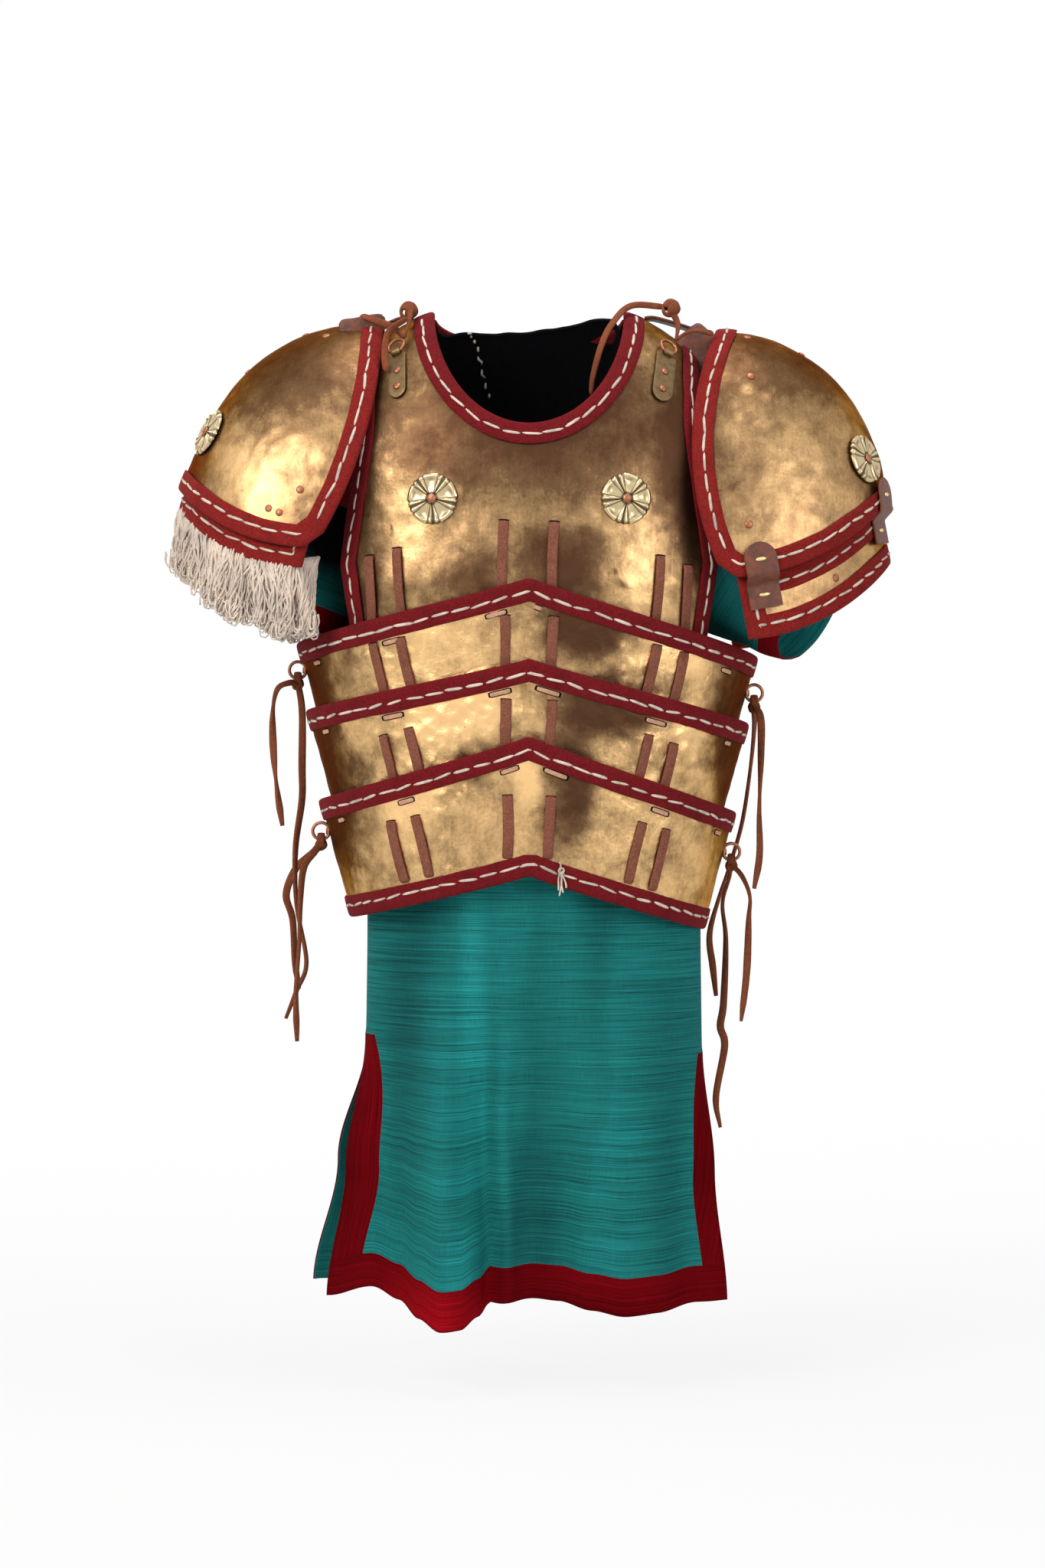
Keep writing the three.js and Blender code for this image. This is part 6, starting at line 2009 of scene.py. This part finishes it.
CAMERA_PLACE = (-0.006, -3.2, -0.416)
CAMERA_LENS, SENSOR_WIDTH = 80.3, 36.0
LIGHTS = [
    ("key", (-1.5, -2.0, 0.9), 1.5, 44.0, (1.0, 0.98, 0.95)),
    ("fill", (1.7, -1.9, 0.1), 1.2, 16.0, (0.97, 0.98, 1.0)),
    ("top", (0.1, -0.2, 1.7), 1.0, 18.0, (1.0, 1.0, 1.0)),
    ("rim", (-1.5, 1.2, 0.3), 0.9, 4.0, (1.0, 1.0, 1.0)),
]
LIGHT_AIM = (0, 0, -0.35)
WORLD_LEVEL = 0.3
WHITE, FLOOR_GREY = (1.0, 1.0, 1.0), (0.85, 0.85, 0.85)
FLOOR_Z = -0.96
FLOOR_FRONT, FLOOR_BACK = -2.6, 1.6
STAGE_HALF_WIDTH, WALL_CURVE = 3.0, 0.5
STAGE_WHITE_SHARE = 0.86
FADE_START, FADE_END = 0.3, 1.5


def make_camera():
    camera = bpy.data.objects.new("Camera", bpy.data.cameras.new("Camera"))
    bpy.context.scene.collection.objects.link(camera)
    camera.location = CAMERA_PLACE
    camera.rotation_euler = (math.radians(90), 0, 0)
    camera.data.lens = CAMERA_LENS
    camera.data.sensor_width = SENSOR_WIDTH
    camera.data.sensor_fit = "AUTO"
    camera.data.clip_start = 0.05
    bpy.context.scene.camera = camera


def show_white(nodes, plain, white, output, share):
    """Mixes in plain white for the camera, for reflections and for what clear things show"""
    seen = nodes.node("ShaderNodeLightPath", output="Is Camera Ray")
    for name in ("Is Glossy Ray", "Is Transmission Ray"):
        seen = seen.most(nodes.node("ShaderNodeLightPath", output=name))
    mixed = nodes.node("ShaderNodeMixShader", {}, {0: seen * share, 1: plain, 2: white})
    nodes.tree.links.new(mixed.socket, output)


def make_lights():
    for name, place, size, power, shade in LIGHTS:
        lamp = bpy.data.objects.new(name, bpy.data.lights.new(name, "AREA"))
        lamp.data.size = size
        lamp.data.energy = power
        lamp.data.color = shade
        lamp.location = place
        lamp.rotation_euler = (Vector(LIGHT_AIM) - lamp.location).to_track_quat("-Z", "Y").to_euler()
        bpy.context.scene.collection.objects.link(lamp)


def make_world():
    world = bpy.data.worlds.new("studio")
    bpy.context.scene.world = world
    world.use_nodes = True
    nodes = Nodes(world.node_tree)
    background = nodes.tree.nodes["Background"]
    nodes.feed(background.inputs["Color"], WHITE)
    nodes.feed(background.inputs["Strength"], WORLD_LEVEL)
    white = nodes.node("ShaderNodeBackground", {}, {"Color": WHITE, "Strength": 1.0})
    show_white(nodes, Value(nodes, background.outputs[0]), white, nodes.tree.nodes["World Output"].inputs["Surface"],
               1.0)


def make_floor():
    """A pale floor that turns up behind the object and fades into the white around it"""
    turn = FLOOR_BACK - WALL_CURVE
    profile = [(FLOOR_FRONT, FLOOR_Z)] + [
        (turn + WALL_CURVE * math.sin(angle), FLOOR_Z + WALL_CURVE * (1 - math.cos(angle)))
        for angle in spread(16, 0, math.pi / 2)]
    bm = bmesh.new()
    add_grid(bm, 1, len(profile) - 1, lambda across, up: Vector((
        lerp(-STAGE_HALF_WIDTH, STAGE_HALF_WIDTH, across), *profile[round(up * (len(profile) - 1))])))
    floor = add_object(bm, "floor")
    finish = Finish("floor")
    finish.set(base_color=FLOOR_GREY, roughness=1.0, specular_ior_level=0.0)
    along = finish.node("ShaderNodeSeparateXYZ", {}, {0: finish.place}, output="Y")
    fade = finish.node("ShaderNodeMapRange", {}, {"Value": along, "From Min": FADE_START, "From Max": FADE_END,
                                                  "To Min": STAGE_WHITE_SHARE, "To Max": 1.0})
    white = finish.node("ShaderNodeEmission", {}, {"Color": WHITE, "Strength": 1.0})
    show_white(finish, Value(finish, finish.surface.outputs[0]), white,
               finish.tree.nodes["Material Output"].inputs["Surface"], fade)
    floor.data.materials.append(finish.material)
    bpy.context.scene.view_settings.view_transform = "Standard"


# Operators, panel and registration

class CuirassStep(bpy.types.Operator):
    """Base of the steps that build the cuirass"""
    bl_options = {"REGISTER"}
    makers = ()

    def execute(self, context):
        if not MATERIALS:
            MATERIALS.update(make_materials())
        for maker in self.makers:
            maker()
        return {"FINISHED"}


class CUIRASS_OT_plates(CuirassStep):
    """Makes the breastplate, the back plate and the lames with their bindings"""
    bl_idname = "cuirass.plates"
    bl_label = "Plates and bindings"
    makers = (make_torso_plates, make_lames)


class CUIRASS_OT_shoulders(CuirassStep):
    """Makes the pauldrons, the arm plates, their tabs and the rosettes"""
    bl_idname = "cuirass.shoulders"
    bl_label = "Shoulder pieces"
    makers = (make_pauldrons, make_arm_plates, make_arm_tabs, make_rosettes, make_shoulder_tabs,
              make_shoulder_straps)


class CUIRASS_OT_cloth(CuirassStep):
    """Makes the tunic, the sleeves, the lining and the wool fringe"""
    bl_idname = "cuirass.cloth"
    bl_label = "Cloth and wool"
    makers = (make_lining, make_tunic, make_sleeves, make_fringe)


class CUIRASS_OT_laces(CuirassStep):
    """Makes the suspension laces, the side rings, the ties and the shoulder laces"""
    bl_idname = "cuirass.laces"
    bl_label = "Laces and ties"
    makers = (make_laces, make_tacks, make_hem_tuft, make_side_rings, make_side_ties, make_shoulder_laces)


class CUIRASS_OT_camera(CuirassStep):
    """Places the camera"""
    bl_idname = "cuirass.camera"
    bl_label = "Camera"
    makers = (make_camera,)


class CUIRASS_OT_stage(CuirassStep):
    """Makes the lights, the world and the floor"""
    bl_idname = "cuirass.stage"
    bl_label = "Stage"
    makers = (make_lights, make_world, make_floor)


STEPS = (CUIRASS_OT_camera, CUIRASS_OT_laces, CUIRASS_OT_plates, CUIRASS_OT_shoulders, CUIRASS_OT_cloth,
         CUIRASS_OT_stage)


class CUIRASS_PT_panel(bpy.types.Panel):
    """Steps and settings of the cuirass"""
    bl_idname = "CUIRASS_PT_panel"
    bl_label = "Cuirass"
    bl_space_type = "VIEW_3D"
    bl_region_type = "UI"
    bl_category = "Cuirass"

    def draw(self, context):
        for step in STEPS:
            self.layout.operator(step.bl_idname)
        for name, kind in SETTINGS.items():
            box = self.layout.box()
            for setting in kind.__annotations__:
                box.prop(getattr(context.scene, name), setting)


CLASSES = (*SETTINGS.values(), *STEPS, CUIRASS_PT_panel)


def register():
    for kind in CLASSES:
        bpy.utils.register_class(kind)
    for name, kind in SETTINGS.items():
        setattr(bpy.types.Scene, name, bpy.props.PointerProperty(type=kind))


def unregister():
    for name in SETTINGS:
        delattr(bpy.types.Scene, name)
    for kind in reversed(CLASSES):
        bpy.utils.unregister_class(kind)


def main():
    register()
    for step in STEPS:
        group, name = step.bl_idname.split(".")
        getattr(getattr(bpy.ops, group), name)()


if __name__ == "__main__":
    main()
